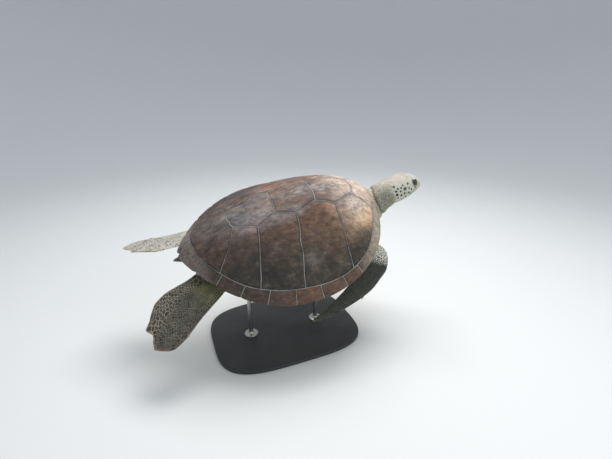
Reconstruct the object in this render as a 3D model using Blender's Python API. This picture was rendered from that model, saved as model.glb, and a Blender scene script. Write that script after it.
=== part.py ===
"""Green sea turtle (Chelonia mydas), subadult, life size, as a still display model in a
banking swim, held over a flat base by two short rods.

Units are metres and +Z is up. The animal is laid out in its own body frame first: x runs
forward from the middle of the shell, y to the animal's left, z up from the plane of the
shell's rim, and every length there is a fraction of SCL, the straight carapace length.
world() then scales, pitches, banks and lifts it over the base, whose underside is z = 0.
"""

import bpy
import bmesh
import math
import numpy as np
from mathutils import Matrix, Vector
from mathutils.bvhtree import BVHTree

for old in list(bpy.data.objects):
    bpy.data.objects.remove(old, do_unlink=True)

# ---------------------------------------------------------------- driving dimensions
SCL = 0.72  # straight carapace length, m
PITCH = math.radians(5.1)  # nose up
BANK = math.radians(26.8)  # right side down
SHELL_HEIGHT = 0.405  # middle of the shell's rim plane above the floor, m
GAP = 0.0003  # between touching pieces, m

# carapace, in SCL
HALF_WIDTH, WIDEST_AT = 0.394, 0.478
CREST, CREST_AT = 0.280, 0.378
NUCHAL_RISE, TAIL_RISE = 0.096, 0.053
FLANK = 1.439  # how far the flank flares out towards the rim
SHELL_THICK, RIM_THICK = 0.024, 0.014
BELLY = -0.125  # lowest point of the plastron
PLASTRON_THICK = 0.014

# head, in SCL
HEAD_AT = (0.6564, -0.003, 0.1739)
HEAD_YAW, HEAD_PITCH, HEAD_ROLL = math.radians(6.5), math.radians(8.6), math.radians(23)
HEAD_SCALE = 1.05
EYE_RADIUS = 0.0195

# display stand, m
BASE_LENGTH, BASE_WIDTH, BASE_THICK = 0.56, 0.42, 0.012
ROD_RADIUS = 0.008
PAD_RADIUS, PAD_THICK = 0.030, 0.006
ROD_X = (0.135, -0.135)  # along the base

G = GAP / SCL
AROUND = 40  # points round the shell's rim
CEILING = (0.80, 0.60, 0.32)  # rings of the carapace's inner side, shared with the trunk
FLOOR = (0.86, 0.78, 0.66, 0.50, 0.25)  # rings of the plastron's inner side, shared too

BODY = (
    Matrix.Translation((0, 0, SHELL_HEIGHT))
    @ Matrix.Rotation(-PITCH, 4, "Y")
    @ Matrix.Rotation(BANK, 4, "X")
    @ Matrix.Scale(SCL, 4)
)


# ---------------------------------------------------------------- small helpers
def material(name, colour, roughness, metallic=0.0):
    mat = bpy.data.materials.new(name)
    mat.use_nodes = True
    bsdf = mat.node_tree.nodes["Principled BSDF"]
    bsdf.inputs["Base Color"].default_value = (*colour, 1)
    bsdf.inputs["Roughness"].default_value = roughness
    bsdf.inputs["Metallic"].default_value = metallic
    return mat


def new_object(name, bm, mat=None, smooth=True):
    mesh = bpy.data.meshes.new(name)
    bmesh.ops.triangulate(bm, faces=[f for f in bm.faces if len(f.verts) == 4])
    bmesh.ops.recalc_face_normals(bm, faces=bm.faces)
    if bm.calc_volume(signed=True) < 0:
        bmesh.ops.reverse_faces(bm, faces=bm.faces)
    bm.to_mesh(mesh)
    bm.free()
    if smooth:
        mesh.shade_smooth()
        mesh.set_sharp_from_angle(angle=math.radians(40))
    obj = bpy.data.objects.new(name, mesh)
    bpy.context.scene.collection.objects.link(obj)
    if mat:
        mesh.materials.append(mat)
    return obj


def loft(rings, start=None, end=None, to_world=True, flat_ends=False):
    """A closed tube through rings of points; start and end are the cap centres.

    With flat_ends the caps are strips from one face of a thin section to the other.
    """
    bm = bmesh.new()
    move = BODY if to_world else Matrix.Identity(4)
    made = [[bm.verts.new(move @ Vector(p)) for p in ring] for ring in rings]
    n = len(made[0])
    for a, b in zip(made, made[1:]):
        for i in range(n):
            bm.faces.new((a[i], a[(i + 1) % n], b[(i + 1) % n], b[i]))
    if flat_ends:
        for ring in (made[0], made[-1]):
            bm.faces.new((ring[0], ring[1], ring[n - 1]))
            bm.faces.new((ring[n // 2 - 1], ring[n // 2], ring[n // 2 + 1]))
            for j in range(1, n // 2 - 1):
                bm.faces.new((ring[j], ring[j + 1], ring[n - j - 1], ring[n - j]))
        return bm
    for ring, centre in ((made[0], start), (made[-1], end)):
        if centre is None:
            centre = sum((Vector(v.co) for v in ring), Vector()) / n
        else:
            centre = move @ Vector(centre)
        tip = bm.verts.new(centre)
        for i in range(n):
            bm.faces.new((ring[i], ring[(i + 1) % n], tip))
    return bm


def spline(points, t):
    """Catmull-Rom through the rows of points, t from 0 to len-1."""
    p = np.asarray(points, float)
    i = int(min(max(math.floor(t), 0), len(p) - 2))
    f = t - i
    a, b, c, d = p[max(i - 1, 0)], p[i], p[i + 1], p[min(i + 2, len(p) - 1)]
    return 0.5 * (
        2 * b + (c - a) * f + (2 * a - 5 * b + 4 * c - d) * f**2 + (3 * b - a - 3 * c + d) * f**3
    )


def boolean(obj, cutter, operation="DIFFERENCE"):
    """Applies a Boolean and leaves the cutter hidden."""
    mod = obj.modifiers.new("cut", "BOOLEAN")
    mod.operation = operation
    mod.solver = "EXACT"
    mod.use_hole_tolerant = True
    mod.object = cutter
    bpy.context.view_layer.update()
    graph = bpy.context.evaluated_depsgraph_get()
    mesh = bpy.data.meshes.new_from_object(obj.evaluated_get(graph))
    obj.modifiers.clear()
    obj.data = mesh
    mesh.name = obj.name
    return obj


def drop(*objs):
    for obj in objs:
        bpy.data.objects.remove(obj, do_unlink=True)


def duplicate(obj, name):
    other = obj.copy()
    other.data = obj.data.copy()
    other.name = name
    bpy.context.scene.collection.objects.link(other)
    return other


def keep_side(obj, point, normal, shift=0.0):
    """Cuts by a plane, keeps the side that the normal points to, and closes the cut."""
    bm = bmesh.new()
    bm.from_mesh(obj.data)
    normal = Vector(normal).normalized()
    cut = bmesh.ops.bisect_plane(
        bm,
        geom=bm.verts[:] + bm.edges[:] + bm.faces[:],
        dist=1e-7,
        plane_co=Vector(point) + normal * shift,
        plane_no=normal,
        clear_inner=True,
    )
    edges = [e for e in cut["geom_cut"] if isinstance(e, bmesh.types.BMEdge)]
    bmesh.ops.holes_fill(bm, edges=edges, sides=0)
    bmesh.ops.triangulate(bm, faces=[f for f in bm.faces if len(f.verts) > 4])
    bm.to_mesh(obj.data)
    bm.free()
    return obj


def smoothstep(a, b, x):
    t = min(max((x - a) / (b - a), 0.0), 1.0)
    return t * t * (3 - 2 * t)


# ---------------------------------------------------------------- the shell's surface
def half_width(u):
    if u < WIDEST_AT:
        return HALF_WIDTH * (1 - abs(1 - u / WIDEST_AT) ** 2.3) ** (1 / 1.9)
    return HALF_WIDTH * (1 - ((u - WIDEST_AT) / (1 - WIDEST_AT)) ** 2.1) ** (1 / 1.217)


def rim_height(u):
    front = min(max((0.45 - u) / 0.45, 0), 1) ** 1.6
    rear = min(max((u - 0.55) / 0.45, 0), 1) ** 1.6
    return NUCHAL_RISE * front + TAIL_RISE * rear


def ridge_height(u):
    z0, z1 = NUCHAL_RISE, TAIL_RISE
    if u < CREST_AT:
        return z0 + (CREST - z0) * (1 - abs(1 - u / CREST_AT) ** 2.4) ** (1 / 1.7)
    return z1 + (CREST - z1) * (1 - ((u - CREST_AT) / (1 - CREST_AT)) ** 1.9) ** (1 / 1.25)


def rim(theta):
    """Point of the shell's edge: theta 0 at the nape, pi at the tail, over 0..pi on the left."""
    u = 0.5 - 0.5 * math.cos(theta)
    y = half_width(min(max(u, 0.0), 1.0))
    return np.array([0.5 - u, y if math.sin(theta) >= 0 else -y, rim_height(u)])


def shell_top(x, y):
    u = min(max(0.5 - x, 0.0), 1.0)
    w = max(half_width(u), 1e-6)
    t = min(abs(y) / w, 1.0)
    low = rim_height(u)
    return low + (ridge_height(u) - low) * (1 - FLANK * t**2 - (1 - FLANK) * t**4)


def plan(theta, r):
    edge = rim(theta)
    return 0.02 + r * (edge[0] - 0.02), r * edge[1], edge[2]


def top_ring(r, drop_by=0.0):
    ring = []
    for k in range(AROUND):
        x, y, _ = plan(2 * math.pi * k / AROUND, r)
        ring.append((x, y, shell_top(x, y) - drop_by))
    return ring


def rim_ring(r, below):
    """A ring at a set depth below the rim's own edge."""
    ring = []
    for k in range(AROUND):
        x, y, z = plan(2 * math.pi * k / AROUND, r)
        ring.append((x, y, z - below))
    return ring


def bowl_ring(r, reach, centre_z, edge_below):
    """The belly: a bowl from centre_z up to edge_below under the rim at r = reach."""
    ring = []
    for k in range(AROUND):
        theta = 2 * math.pi * k / AROUND
        x, y, z = plan(theta, r)
        power = 3.2 + 9.0 * abs(math.cos(theta)) ** 3
        s = (r / reach) ** power
        ring.append((x, y, centre_z + (z - edge_below - centre_z) * s))
    return ring


# ---------------------------------------------------------------- materials
M_CARAPACE = material("carapace_keratin", (0.155, 0.095, 0.062), 0.5)
M_PLASTRON = material("plastron_keratin", (0.66, 0.56, 0.36), 0.45)
M_SKIN = material("turtle_skin", (0.33, 0.32, 0.25), 0.55)
M_BEAK = material("beak_horn", (0.50, 0.42, 0.28), 0.4)
M_EYE = material("eye", (0.012, 0.009, 0.007), 0.06)
M_CLAW = material("claw_horn", (0.30, 0.24, 0.16), 0.4)
M_BASE = material("stand_base_paint", (0.035, 0.037, 0.04), 0.45)
M_ROD = material("stand_rod_steel", (0.55, 0.55, 0.55), 0.3, 1.0)


# ---------------------------------------------------------------- carapace, plastron, trunk
def build_carapace(grow=0.0, name="carapace"):
    """A domed shell with a thin overhanging rim. grow thickens it inward, for cutters."""
    inner, low = CEILING[0] - 2 * grow, SHELL_THICK + grow
    rings = [top_ring(r, -grow) for r in (0.16, 0.32, 0.48, 0.63, 0.76, 0.87, 0.94)]
    rings.append(top_ring(1.0, -grow))
    rings.append(rim_ring(1.006 + 2 * grow, 0.006))
    rings.append(rim_ring(0.990 + 2 * grow, RIM_THICK + grow))
    rings.append(rim_ring(0.86, 0.020 + grow))
    rings.append(rim_ring(inner + 0.03, 0.012))
    rings.append(top_ring(inner, low))
    for r in CEILING[1:]:
        rings.append(top_ring(r, low))
    start = (0.02, 0, shell_top(0.02, 0) + grow)
    end = (0.02, 0, shell_top(0.02, 0) - low)
    return new_object(name, loft(rings, start, end), M_CARAPACE)


def build_plate(grow=0.0, name="plastron"):
    """The belly plate, a bowl cut to the plastron's outline, bridges included."""
    centre = BELLY - grow
    rings = [bowl_ring(r, 0.90, centre, 0.0215 + grow) for r in (0.25, 0.50, 0.68, 0.80, 0.90)]
    top = BELLY + PLASTRON_THICK + grow
    rings += [
        bowl_ring(r, 0.86, top, 0.0215 + 2 * G - grow)
        for r in FLOOR
    ]
    obj = new_object(name, loft(rings, (0.02, 0, centre), (0.02, 0, top)), M_PLASTRON)
    half = [
        (0.392, 0.0), (0.386, 0.050), (0.362, 0.092), (0.310, 0.130), (0.250, 0.165),
        (0.205, 0.205), (0.178, 0.270), (0.168, 0.360), (0.10, 0.42), (-0.08, 0.42),
        (-0.145, 0.360), (-0.160, 0.270), (-0.192, 0.190), (-0.250, 0.150),
        (-0.320, 0.118), (-0.368, 0.075), (-0.384, 0.030), (-0.378, 0.0),
    ]  # fmt: skip
    side = [tuple(spline(half, t / 2)) for t in range(2 * (len(half) - 1) + 1)]
    outline = side + [(x, -y) for x, y in reversed(side[1:-1])]
    swell = 1.0 + 3 * grow
    bm = bmesh.new()
    low = [bm.verts.new(BODY @ Vector((x * swell, y * swell, -0.30))) for x, y in outline]
    high = [bm.verts.new(BODY @ Vector((x * swell, y * swell, 0.20))) for x, y in outline]
    bm.faces.new(low)
    bm.faces.new(reversed(high))
    for i in range(len(outline)):
        j = (i + 1) % len(outline)
        bm.faces.new((low[i], high[i], high[j], low[j]))
    cutter = new_object("plastron_outline", bm)
    boolean(obj, cutter, "INTERSECT")
    drop(cutter)
    return obj


def build_trunk():
    """The soft body that fills the shell and shows round the neck and limbs."""
    rings = [top_ring(r, SHELL_THICK + 1.2 * G) for r in reversed(CEILING[1:])]
    outer = np.array(top_ring(CEILING[0], SHELL_THICK + 1.2 * G))
    rings.append([tuple(p) for p in outer + (np.array(rings[-1]) - outer) * 0.02])
    rings.append(rim_ring(0.826, 0.014))
    top = BELLY + PLASTRON_THICK + G
    for r in FLOOR:
        rings.append(bowl_ring(r, 0.86, top, 0.0215 + G))
    start = (0.02, 0, shell_top(0.02, 0) - SHELL_THICK - G)
    return new_object("trunk", loft(rings, start, (0.02, 0, top)), M_SKIN)


# ---------------------------------------------------------------- limbs
def blade(stations, count, around, side, grow=0.0):
    """A flipper: each station is (leading edge xyz, trailing edge xyz, thickness).

    The section is a flattened oval, fuller towards its leading edge.
    """
    rows = [np.r_[a, b, t] for a, b, t in stations]
    rings = []
    last = len(rows) - 1
    for k in range(count):
        s = k / (count - 1)
        row = spline(rows, last * s)
        lead, trail, thick = row[:3].copy(), row[3:6].copy(), row[6]
        ahead = spline(rows, min(last * s + 0.05, last)) - spline(rows, max(last * s - 0.05, 0))
        along = (ahead[:3] + ahead[3:6]) / 2
        chord = trail - lead
        normal = np.cross(chord, along)
        normal /= np.linalg.norm(normal) + 1e-12
        if normal[2] < 0:
            normal = -normal
        middle, half = (lead + trail) / 2, chord / 2
        ring = []
        for j in range(around):
            a = 2 * math.pi * j / around
            c = math.copysign(abs(math.cos(a)) ** 0.9, math.cos(a))
            body = 1.0 - 0.30 * c
            p = middle + half * c * (1 + grow / np.linalg.norm(half))
            p = p + normal * math.sin(a) * (thick / 2 * body + grow)
            ring.append((p[0], p[1] * side, p[2]))
        rings.append(ring)
    return rings


def deepen(rings, grow):
    """Moves a cutter's root ring further into the body, so that the root has a gap too."""
    if grow:
        first, second = np.array(rings[0]), np.array(rings[1])
        back = first.mean(axis=0) - second.mean(axis=0)
        rings[0] = [tuple(p) for p in first + back / np.linalg.norm(back) * grow * 1.5]
    return rings


def paddle(root, heading, roll, side, length, trim=0.0, count=10, around=22, grow=0.0):
    """A hind flipper: a broad oar, its sole rolled so that the outer edge hangs lower.

    The far edge reaches furthest just outside the middle, over the longest toes.
    """
    root = np.array(root)
    sole = np.array([0.0, math.sin(roll), math.cos(roll)])  # normal of the blade's plane
    axis = np.array([-math.cos(heading), math.sin(heading), 0.0])
    axis[2] = -axis[1] * math.tan(roll)
    axis /= np.linalg.norm(axis)
    outward = np.cross(axis, sole)
    if outward[1] < 0:
        outward = -outward
    rings = []
    for k in range(count):
        r = k / (count - 1)
        r = 1 - (1 - r) ** 1.35
        widths = np.interp(r, *HIND_INNER), np.interp(r, *HIND_OUTER)
        thick = 0.054 * (1 - r) ** 1.5 + 0.0045
        if r > 0.90:
            thick *= 1 - 0.65 * (r - 0.90) / 0.10
        ring = []
        for j in range(around):
            a = 2 * math.pi * j / around
            v = math.copysign(abs(math.cos(a)) ** 0.85, math.cos(a))
            reach = 1 + (np.interp(v, *HIND_REACH) - trim * max(-v, 0) - 1) * r**2
            p = root + axis * (r * length * reach) + outward * v * (widths[v > 0] + grow)
            p = p + sole * math.sin(a) * (thick / 2 * (1.15 + 0.25 * v) + grow)
            ring.append((p[0], p[1] * side, p[2]))
        rings.append(ring)
    return rings


def smoothed(at, value, spread):
    """A table of a curve through these points, its corners eased over spread of its length."""
    x = np.linspace(at[0], at[-1], 241)
    n = round(spread * 120)
    y = np.pad(np.interp(x, at, value), n, mode="reflect", reflect_type="odd")
    return x, np.convolve(y, np.ones(2 * n + 1) / (2 * n + 1), "valid")


# half widths from root to tip, on the side of the tail and on the outer side
HIND_INNER = smoothed((0, 0.37, 0.49, 0.64, 0.76, 0.88, 0.945, 1), (0.066, 0.083, 0.0954, 0.1085, 0.109, 0.1065, 0.1037, 0.097), 0.10)
HIND_OUTER = smoothed((0, 0.40, 0.54, 0.65, 0.78, 0.845, 0.935, 1), (0.066, 0.0805, 0.084, 0.0905, 0.1, 0.1005, 0.1, 0.095), 0.10)
# how far the far edge reaches, from the tail's side (-1) to the outer side (1): two points with a notch between
HIND_REACH = smoothed(
    (-1, -0.85, -0.69, -0.57, -0.50, -0.42, -0.30, -0.13, 0, 0.11, 0.40, 0.66, 0.89, 1),
    (0.765, 0.825, 0.873, 0.925, 0.960, 0.962, 0.954, 0.944, 0.962, 0.990, 1.028, 0.989, 0.945, 0.905),
    0.03,
)

ELBOW = np.array([0.473, 0.265, -0.050])
FRONT_TIP = np.array([0.021, 0.398, -0.200])
SPAN = FRONT_TIP - ELBOW
SPAN_LENGTH = float(np.linalg.norm(SPAN))
TO_TRAIL = np.array([-0.40, -0.74, 0.55])
TO_TRAIL /= np.linalg.norm(TO_TRAIL)


def on_blade(s, c):
    return ELBOW + SPAN / SPAN_LENGTH * s + TO_TRAIL * c


FRONT_STATIONS = [
    ((0.380, 0.112, -0.005), (0.275, 0.160, -0.050), 0.068),
    ((0.425, 0.146, -0.008), (0.308, 0.184, -0.050), 0.072),
    ((0.462, 0.198, -0.020), (0.342, 0.206, -0.045), 0.069),
    ((0.484, 0.250, -0.042), (0.372, 0.222, -0.036), 0.060),
    (on_blade(0.032, -0.043), on_blade(0.085, 0.060), 0.050),
    (on_blade(0.090, -0.062), on_blade(0.130, 0.056), 0.040),
    (on_blade(0.160, -0.076), on_blade(0.190, 0.036), 0.031),
    (on_blade(0.240, -0.073), on_blade(0.255, 0.017), 0.024),
    (on_blade(0.320, -0.061), on_blade(0.325, 0.008), 0.018),
    (on_blade(0.400, -0.043), on_blade(0.400, 0.001), 0.013),
    (on_blade(0.460, -0.022), on_blade(0.458, 0.002), 0.009),
    (on_blade(0.491, -0.005), on_blade(0.488, 0.002), 0.005),
]


def front_flipper(side, name, grow=0.0):
    rings = deepen(blade(FRONT_STATIONS, 22, 14, side, grow=grow), grow)
    return new_object(name, loft(rings, flat_ends=True), M_SKIN)


HIND = {
    -1: dict(root=(-0.306, 0.093, -0.024), heading=math.radians(28), roll=math.radians(24), length=0.435),
    1: dict(root=(-0.300, 0.150, -0.034), heading=math.radians(3), roll=math.radians(30), length=0.430, trim=0.10),
}


def hind_flipper(side, name, grow=0.0):
    rings = deepen(paddle(side=side, grow=grow, **HIND[side]), grow)
    return new_object(name, loft(rings, flat_ends=True), M_SKIN)


# ---------------------------------------------------------------- neck, head and tail
NECK = [
    # x, y, z, half width, half height
    (0.345, 0.000, -0.018, 0.088, 0.070),
    (0.420, 0.002, 0.000, 0.092, 0.076),
    (0.475, 0.006, 0.024, 0.090, 0.070),
    (0.515, 0.008, 0.066, 0.083, 0.070),
    (0.550, 0.002, 0.118, 0.077, 0.070),
    (0.590, -0.008, 0.155, 0.072, 0.067),
    (0.630, -0.006, 0.168, 0.070, 0.065),
]


def neck_rings(count=11, around=18, grow=0.0):
    rings = []
    last = len(NECK) - 1
    for k in range(count):
        t = last * k / (count - 1)
        x, y, z, w, h = spline(NECK, t)
        ahead = spline(NECK, min(t + 0.05, last)) - spline(NECK, max(t - 0.05, 0))
        tilt = math.atan2(ahead[2], ahead[0])
        ring = []
        for j in range(around):
            a = 2 * math.pi * j / around
            yy = math.cos(a) * (w + grow)
            zz = math.sin(a) * (h + grow)
            ring.append((x - math.sin(tilt) * zz, y + yy, z + math.cos(tilt) * zz))
        rings.append(ring)
    return deepen(rings, grow)


HEAD = (
    Matrix.Translation(HEAD_AT)
    @ Matrix.Rotation(HEAD_YAW, 4, "Z")
    @ Matrix.Rotation(-HEAD_PITCH, 4, "Y")
    @ Matrix.Rotation(-HEAD_ROLL, 4, "X")
    @ Matrix.Scale(HEAD_SCALE, 4)
)
# x along the head, top, bottom, half width
HEAD_STATIONS = [
    (-0.115, 0.050, -0.056, 0.058),
    (-0.085, 0.056, -0.060, 0.066),
    (-0.050, 0.0605, -0.0610, 0.0715),
    (-0.015, 0.0605, -0.0590, 0.0720),
    (0.015, 0.0560, -0.0560, 0.0665),
    (0.040, 0.0475, -0.0535, 0.0570),
    (0.062, 0.0360, -0.0510, 0.0460),
    (0.080, 0.0210, -0.0485, 0.0345),
    (0.092, 0.0030, -0.0455, 0.0235),
    (0.099, -0.0140, -0.0420, 0.0125),
]


def head_rings(count=16, around=20, grow=0.0):
    rings = []
    last = len(HEAD_STATIONS) - 1
    for k in range(count):
        x, top, bottom, w = spline(HEAD_STATIONS, last * k / (count - 1))
        middle, h = (top + bottom) / 2, (top - bottom) / 2
        ring = []
        for j in range(around):
            a = 2 * math.pi * j / around
            ca, sa = math.cos(a), math.sin(a)
            power = 0.86 if sa > 0 else 0.92
            yy = math.copysign(abs(ca) ** 0.90, ca) * (w + grow)
            zz = middle + math.copysign(abs(sa) ** power, sa) * (h + grow)
            ring.append(tuple(HEAD @ Vector((x, yy, zz))))
        rings.append(ring)
    return rings


def tail_rings(grow=0.0):
    stations = [(-0.36, -0.020, 0.034), (-0.41, -0.010, 0.029), (-0.450, 0.000, 0.022),
                (-0.485, 0.007, 0.0145), (-0.512, 0.009, 0.007), (-0.522, 0.008, 0.002)]  # fmt: skip
    rings = []
    for k in range(7):
        x, z, r = spline(stations, (len(stations) - 1) * k / 6)
        rings.append([
            (x, math.cos(a) * (r * 1.1 + grow), z + math.sin(a) * (r + grow))
            for a in [2 * math.pi * j / 12 for j in range(12)]
        ])  # fmt: skip
    return deepen(rings, grow)


def sphere(name, centre, radius, mat, segments=14, rings=8, axis=(0, 1, 0)):
    bm = bmesh.new()
    bmesh.ops.create_uvsphere(bm, u_segments=segments, v_segments=rings, radius=radius)
    turn = Vector((0, 0, 1)).rotation_difference(Vector(axis)).to_matrix().to_4x4()
    bmesh.ops.transform(bm, matrix=Matrix.Translation(centre) @ turn, verts=bm.verts)
    return new_object(name, bm, mat)


# ---------------------------------------------------------------- assembly: shell
carapace = build_carapace()
plastron = build_plate()
trunk = build_trunk()

# ---------------------------------------------------------------- assembly: limbs and neck
shell_cut = build_carapace(grow=1.5 * G, name="carapace_cutter")
plate_cut = build_plate(grow=1.5 * G, name="plastron_cutter")


def seat(piece, cutter):
    """Lets a limb into the trunk, clear of both shells."""
    boolean(trunk, cutter)
    boolean(piece, shell_cut)
    boolean(piece, plate_cut)
    drop(cutter)


for side, word in ((1, "left"), (-1, "right")):
    seat(front_flipper(side, "front_flipper_" + word), front_flipper(side, "ff_cut", grow=2 * G))
    seat(hind_flipper(side, "hind_flipper_" + word), hind_flipper(side, "hf_cut", grow=2 * G))
seat(new_object("neck", loft(neck_rings()), M_SKIN), new_object("neck_cut", loft(neck_rings(grow=2 * G))))
seat(new_object("tail", loft(tail_rings()), M_SKIN), new_object("tail_cut", loft(tail_rings(grow=2 * G))))
drop(shell_cut, plate_cut)

# ---------------------------------------------------------------- assembly: head
neck = bpy.data.objects["neck"]
head = new_object("head", loft(head_rings()), M_SKIN)
NAPE = HEAD @ Vector((-0.075, 0, 0))
NAPE_AXIS = (HEAD.to_3x3() @ Vector((0.96, 0, 0.10))).normalized()
nape_world = BODY @ NAPE
nape_normal = (BODY.to_3x3() @ NAPE_AXIS).normalized()
keep_side(head, nape_world, nape_normal, GAP / 2)
keep_side(neck, nape_world, -nape_normal, GAP / 2)


def wedge(name, grow):
    """The space of the lower jaw: under the mouth line and ahead of the jaw's hinge."""
    line = [(-0.006, -0.0185), (0.010, -0.0135), (0.030, -0.0135), (0.055, -0.0180), (0.085, -0.0235), (0.120, -0.0290)]
    bm = bmesh.new()
    outline = [(x, z + grow) for x, z in line]
    outline[0] = (outline[0][0] - grow, outline[0][1])
    outline += [(0.120, -0.100), (-0.034 - grow, -0.100)]
    loops = []
    for y in (-0.12, 0.12):
        loops.append([bm.verts.new(BODY @ (HEAD @ Vector((x, y, z)))) for x, z in outline])
    bm.faces.new(loops[0])
    bm.faces.new(reversed(loops[1]))
    for i in range(len(outline)):
        j = (i + 1) % len(outline)
        bm.faces.new((loops[0][i], loops[1][i], loops[1][j], loops[0][j]))
    return new_object(name, bm, smooth=False)


lower_jaw = duplicate(head, "lower_jaw")
inner, outer = wedge("jaw_space", 0.0), wedge("jaw_space_wide", G)
boolean(lower_jaw, inner, "INTERSECT")
boolean(head, outer, "DIFFERENCE")
drop(inner, outer)


def head_plane(point, normal):
    return BODY @ (HEAD @ Vector(point)), (BODY.to_3x3() @ (HEAD.to_3x3() @ Vector(normal))).normalized()


beak_upper = duplicate(head, "beak_upper")
co, no = head_plane((0.091, 0, 0.006), (0.53, 0, -0.85))
keep_side(beak_upper, co, no, GAP / 2)
keep_side(head, co, -no, GAP / 2)
beak_lower = duplicate(lower_jaw, "beak_lower")
co, no = head_plane((0.052, 0, -0.045), (0.97, 0, 0.24))
keep_side(beak_lower, co, no, GAP / 2)
keep_side(lower_jaw, co, -no, GAP / 2)
for beak in (beak_upper, beak_lower):
    beak.data.materials.clear()
    beak.data.materials.append(M_BEAK)

for side, word in ((1, "left"), (-1, "right")):
    axis = (HEAD.to_3x3() @ Vector((0.36, 0.90 * side, 0.24))).normalized()
    centre = HEAD @ Vector((0.0380, 0.0405 * side, 0.0150))
    world_axis = (BODY.to_3x3() @ axis).normalized()
    socket = sphere("socket", BODY @ centre, (EYE_RADIUS + G) * SCL, None, axis=world_axis)
    boolean(head, socket)
    drop(socket)
    sphere("eye_" + word, BODY @ centre, EYE_RADIUS * SCL, M_EYE, axis=world_axis)


# ---------------------------------------------------------------- claws
def claw(name, at, direction, length, radius):
    """A short horn cone let into the flipper's leading edge."""
    direction = Vector(direction).normalized()
    bm = bmesh.new()
    bmesh.ops.create_cone(bm, cap_ends=True, segments=10, radius1=radius, radius2=radius * 0.12, depth=length)
    turn = Vector((0, 0, 1)).rotation_difference(direction).to_matrix().to_4x4()
    bmesh.ops.transform(bm, matrix=BODY @ Matrix.Translation(Vector(at) + direction * length * 0.5) @ turn, verts=bm.verts)
    return new_object(name, bm, M_CLAW)


for side, word in ((1, "left"), (-1, "right")):
    flip = np.array([1, side, 1])
    at = on_blade(0.215, -0.070) * flip
    aim = (SPAN / SPAN_LENGTH - TO_TRAIL * 0.9) * flip
    flipper = bpy.data.objects["front_flipper_" + word]
    cutter = claw("claw_cut", at, aim, 0.022, 0.0062 + G)
    boolean(flipper, cutter)
    drop(cutter)
    claw("claw_front_" + word, at + aim / np.linalg.norm(aim) * G, aim, 0.022, 0.0062)

    # the hind claw sits on the outer edge, before the far corner
    ring = paddle(side=side, count=24, **HIND[side])[15]
    base_at, inward = np.array(ring[0]), np.array(ring[11])
    out = (base_at - inward) / np.linalg.norm(base_at - inward)
    back = np.array(paddle(side=side, count=24, **HIND[side])[16][0]) - base_at
    aim = out + back / np.linalg.norm(back) * 1.2
    at = base_at - out * 0.006
    flipper = bpy.data.objects["hind_flipper_" + word]
    cutter = claw("claw_cut", at, aim, 0.020, 0.0050 + G)
    boolean(flipper, cutter)
    drop(cutter)
    claw("claw_hind_" + word, at + aim / np.linalg.norm(aim) * G, aim, 0.020, 0.0050)

# ---------------------------------------------------------------- display stand
bm = bmesh.new()
outline = []
for k in range(40):
    a = 2 * math.pi * k / 40
    c, s = math.cos(a), math.sin(a)
    outline.append((math.copysign(abs(c) ** 0.55, c) * BASE_LENGTH / 2, math.copysign(abs(s) ** 0.55, s) * BASE_WIDTH / 2))
rings = []
for scale, z in ((1.0, 0.0), (1.0, BASE_THICK - 0.004), (0.996, BASE_THICK - 0.0012), (0.985, BASE_THICK)):
    rings.append([(x * scale, y * scale, z) for x, y in outline])
base = new_object("stand_base", loft(rings, (0, 0, 0), (0, 0, BASE_THICK), to_world=False), M_BASE)

body_tree = BVHTree.FromPolygons(
    [v.co.copy() for v in plastron.data.vertices], [tuple(p.vertices) for p in plastron.data.polygons]
)
for word, x in zip(("front", "rear"), ROD_X):
    hit, normal, _, _ = body_tree.ray_cast(Vector((x, 0, 0.02)), Vector((0, 0, 1)))
    up = normal if normal.z > 0 else -normal
    # a turned rod with its foot flange, cut slantwise under the pad
    profile = ((0.026, 0.0), (0.026, 0.004), (0.0245, 0.0055), (0.0130, 0.0070), (0.0100, 0.0100), (ROD_RADIUS, 0.0150))
    bottom = BASE_THICK + GAP
    levels = [(r, bottom + z) for r, z in profile] + [(ROD_RADIUS, hit.z)]
    circle = [2 * math.pi * j / 16 for j in range(16)]
    rings = [[(x + math.cos(a) * r, math.sin(a) * r, z) for a in circle] for r, z in levels]
    rod = new_object("stand_rod_" + word, loft(rings, to_world=False), M_ROD)
    keep_side(rod, hit - up * (PAD_THICK + GAP), -up)
    turn = Vector((0, 0, 1)).rotation_difference(up).to_matrix().to_4x4()
    rings = [
        [tuple(Matrix.Translation(hit) @ turn @ Vector((math.cos(a) * r, math.sin(a) * r, z))) for a in circle]
        for r, z in ((PAD_RADIUS * 0.80, -PAD_THICK), (PAD_RADIUS, -PAD_THICK * 0.55), (PAD_RADIUS, 0.010))
    ]
    pad = new_object("stand_pad_" + word, loft(rings, to_world=False), M_ROD)
    plate = build_plate(grow=0.9 * G, name="plate_cut")
    boolean(pad, plate)
    drop(plate)
    # what the plate leaves above the belly
    keep_side(pad, hit + up * 0.002, -up)
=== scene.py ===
"""Looks of the green sea turtle: shell plates, one skin, beak, eyes, claws, stand and studio.

Everything is laid out in the animal's body frame first (x forward, y to its left, z up from
the shell's rim plane, lengths as fractions of SCL) and then scaled, banked and lifted over
the stand's base, as in the CAD model.
"""

import math

import bmesh
import bpy
import numpy as np
from mathutils import Matrix, Vector
from mathutils.bvhtree import BVHTree
from mathutils.kdtree import KDTree


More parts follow.
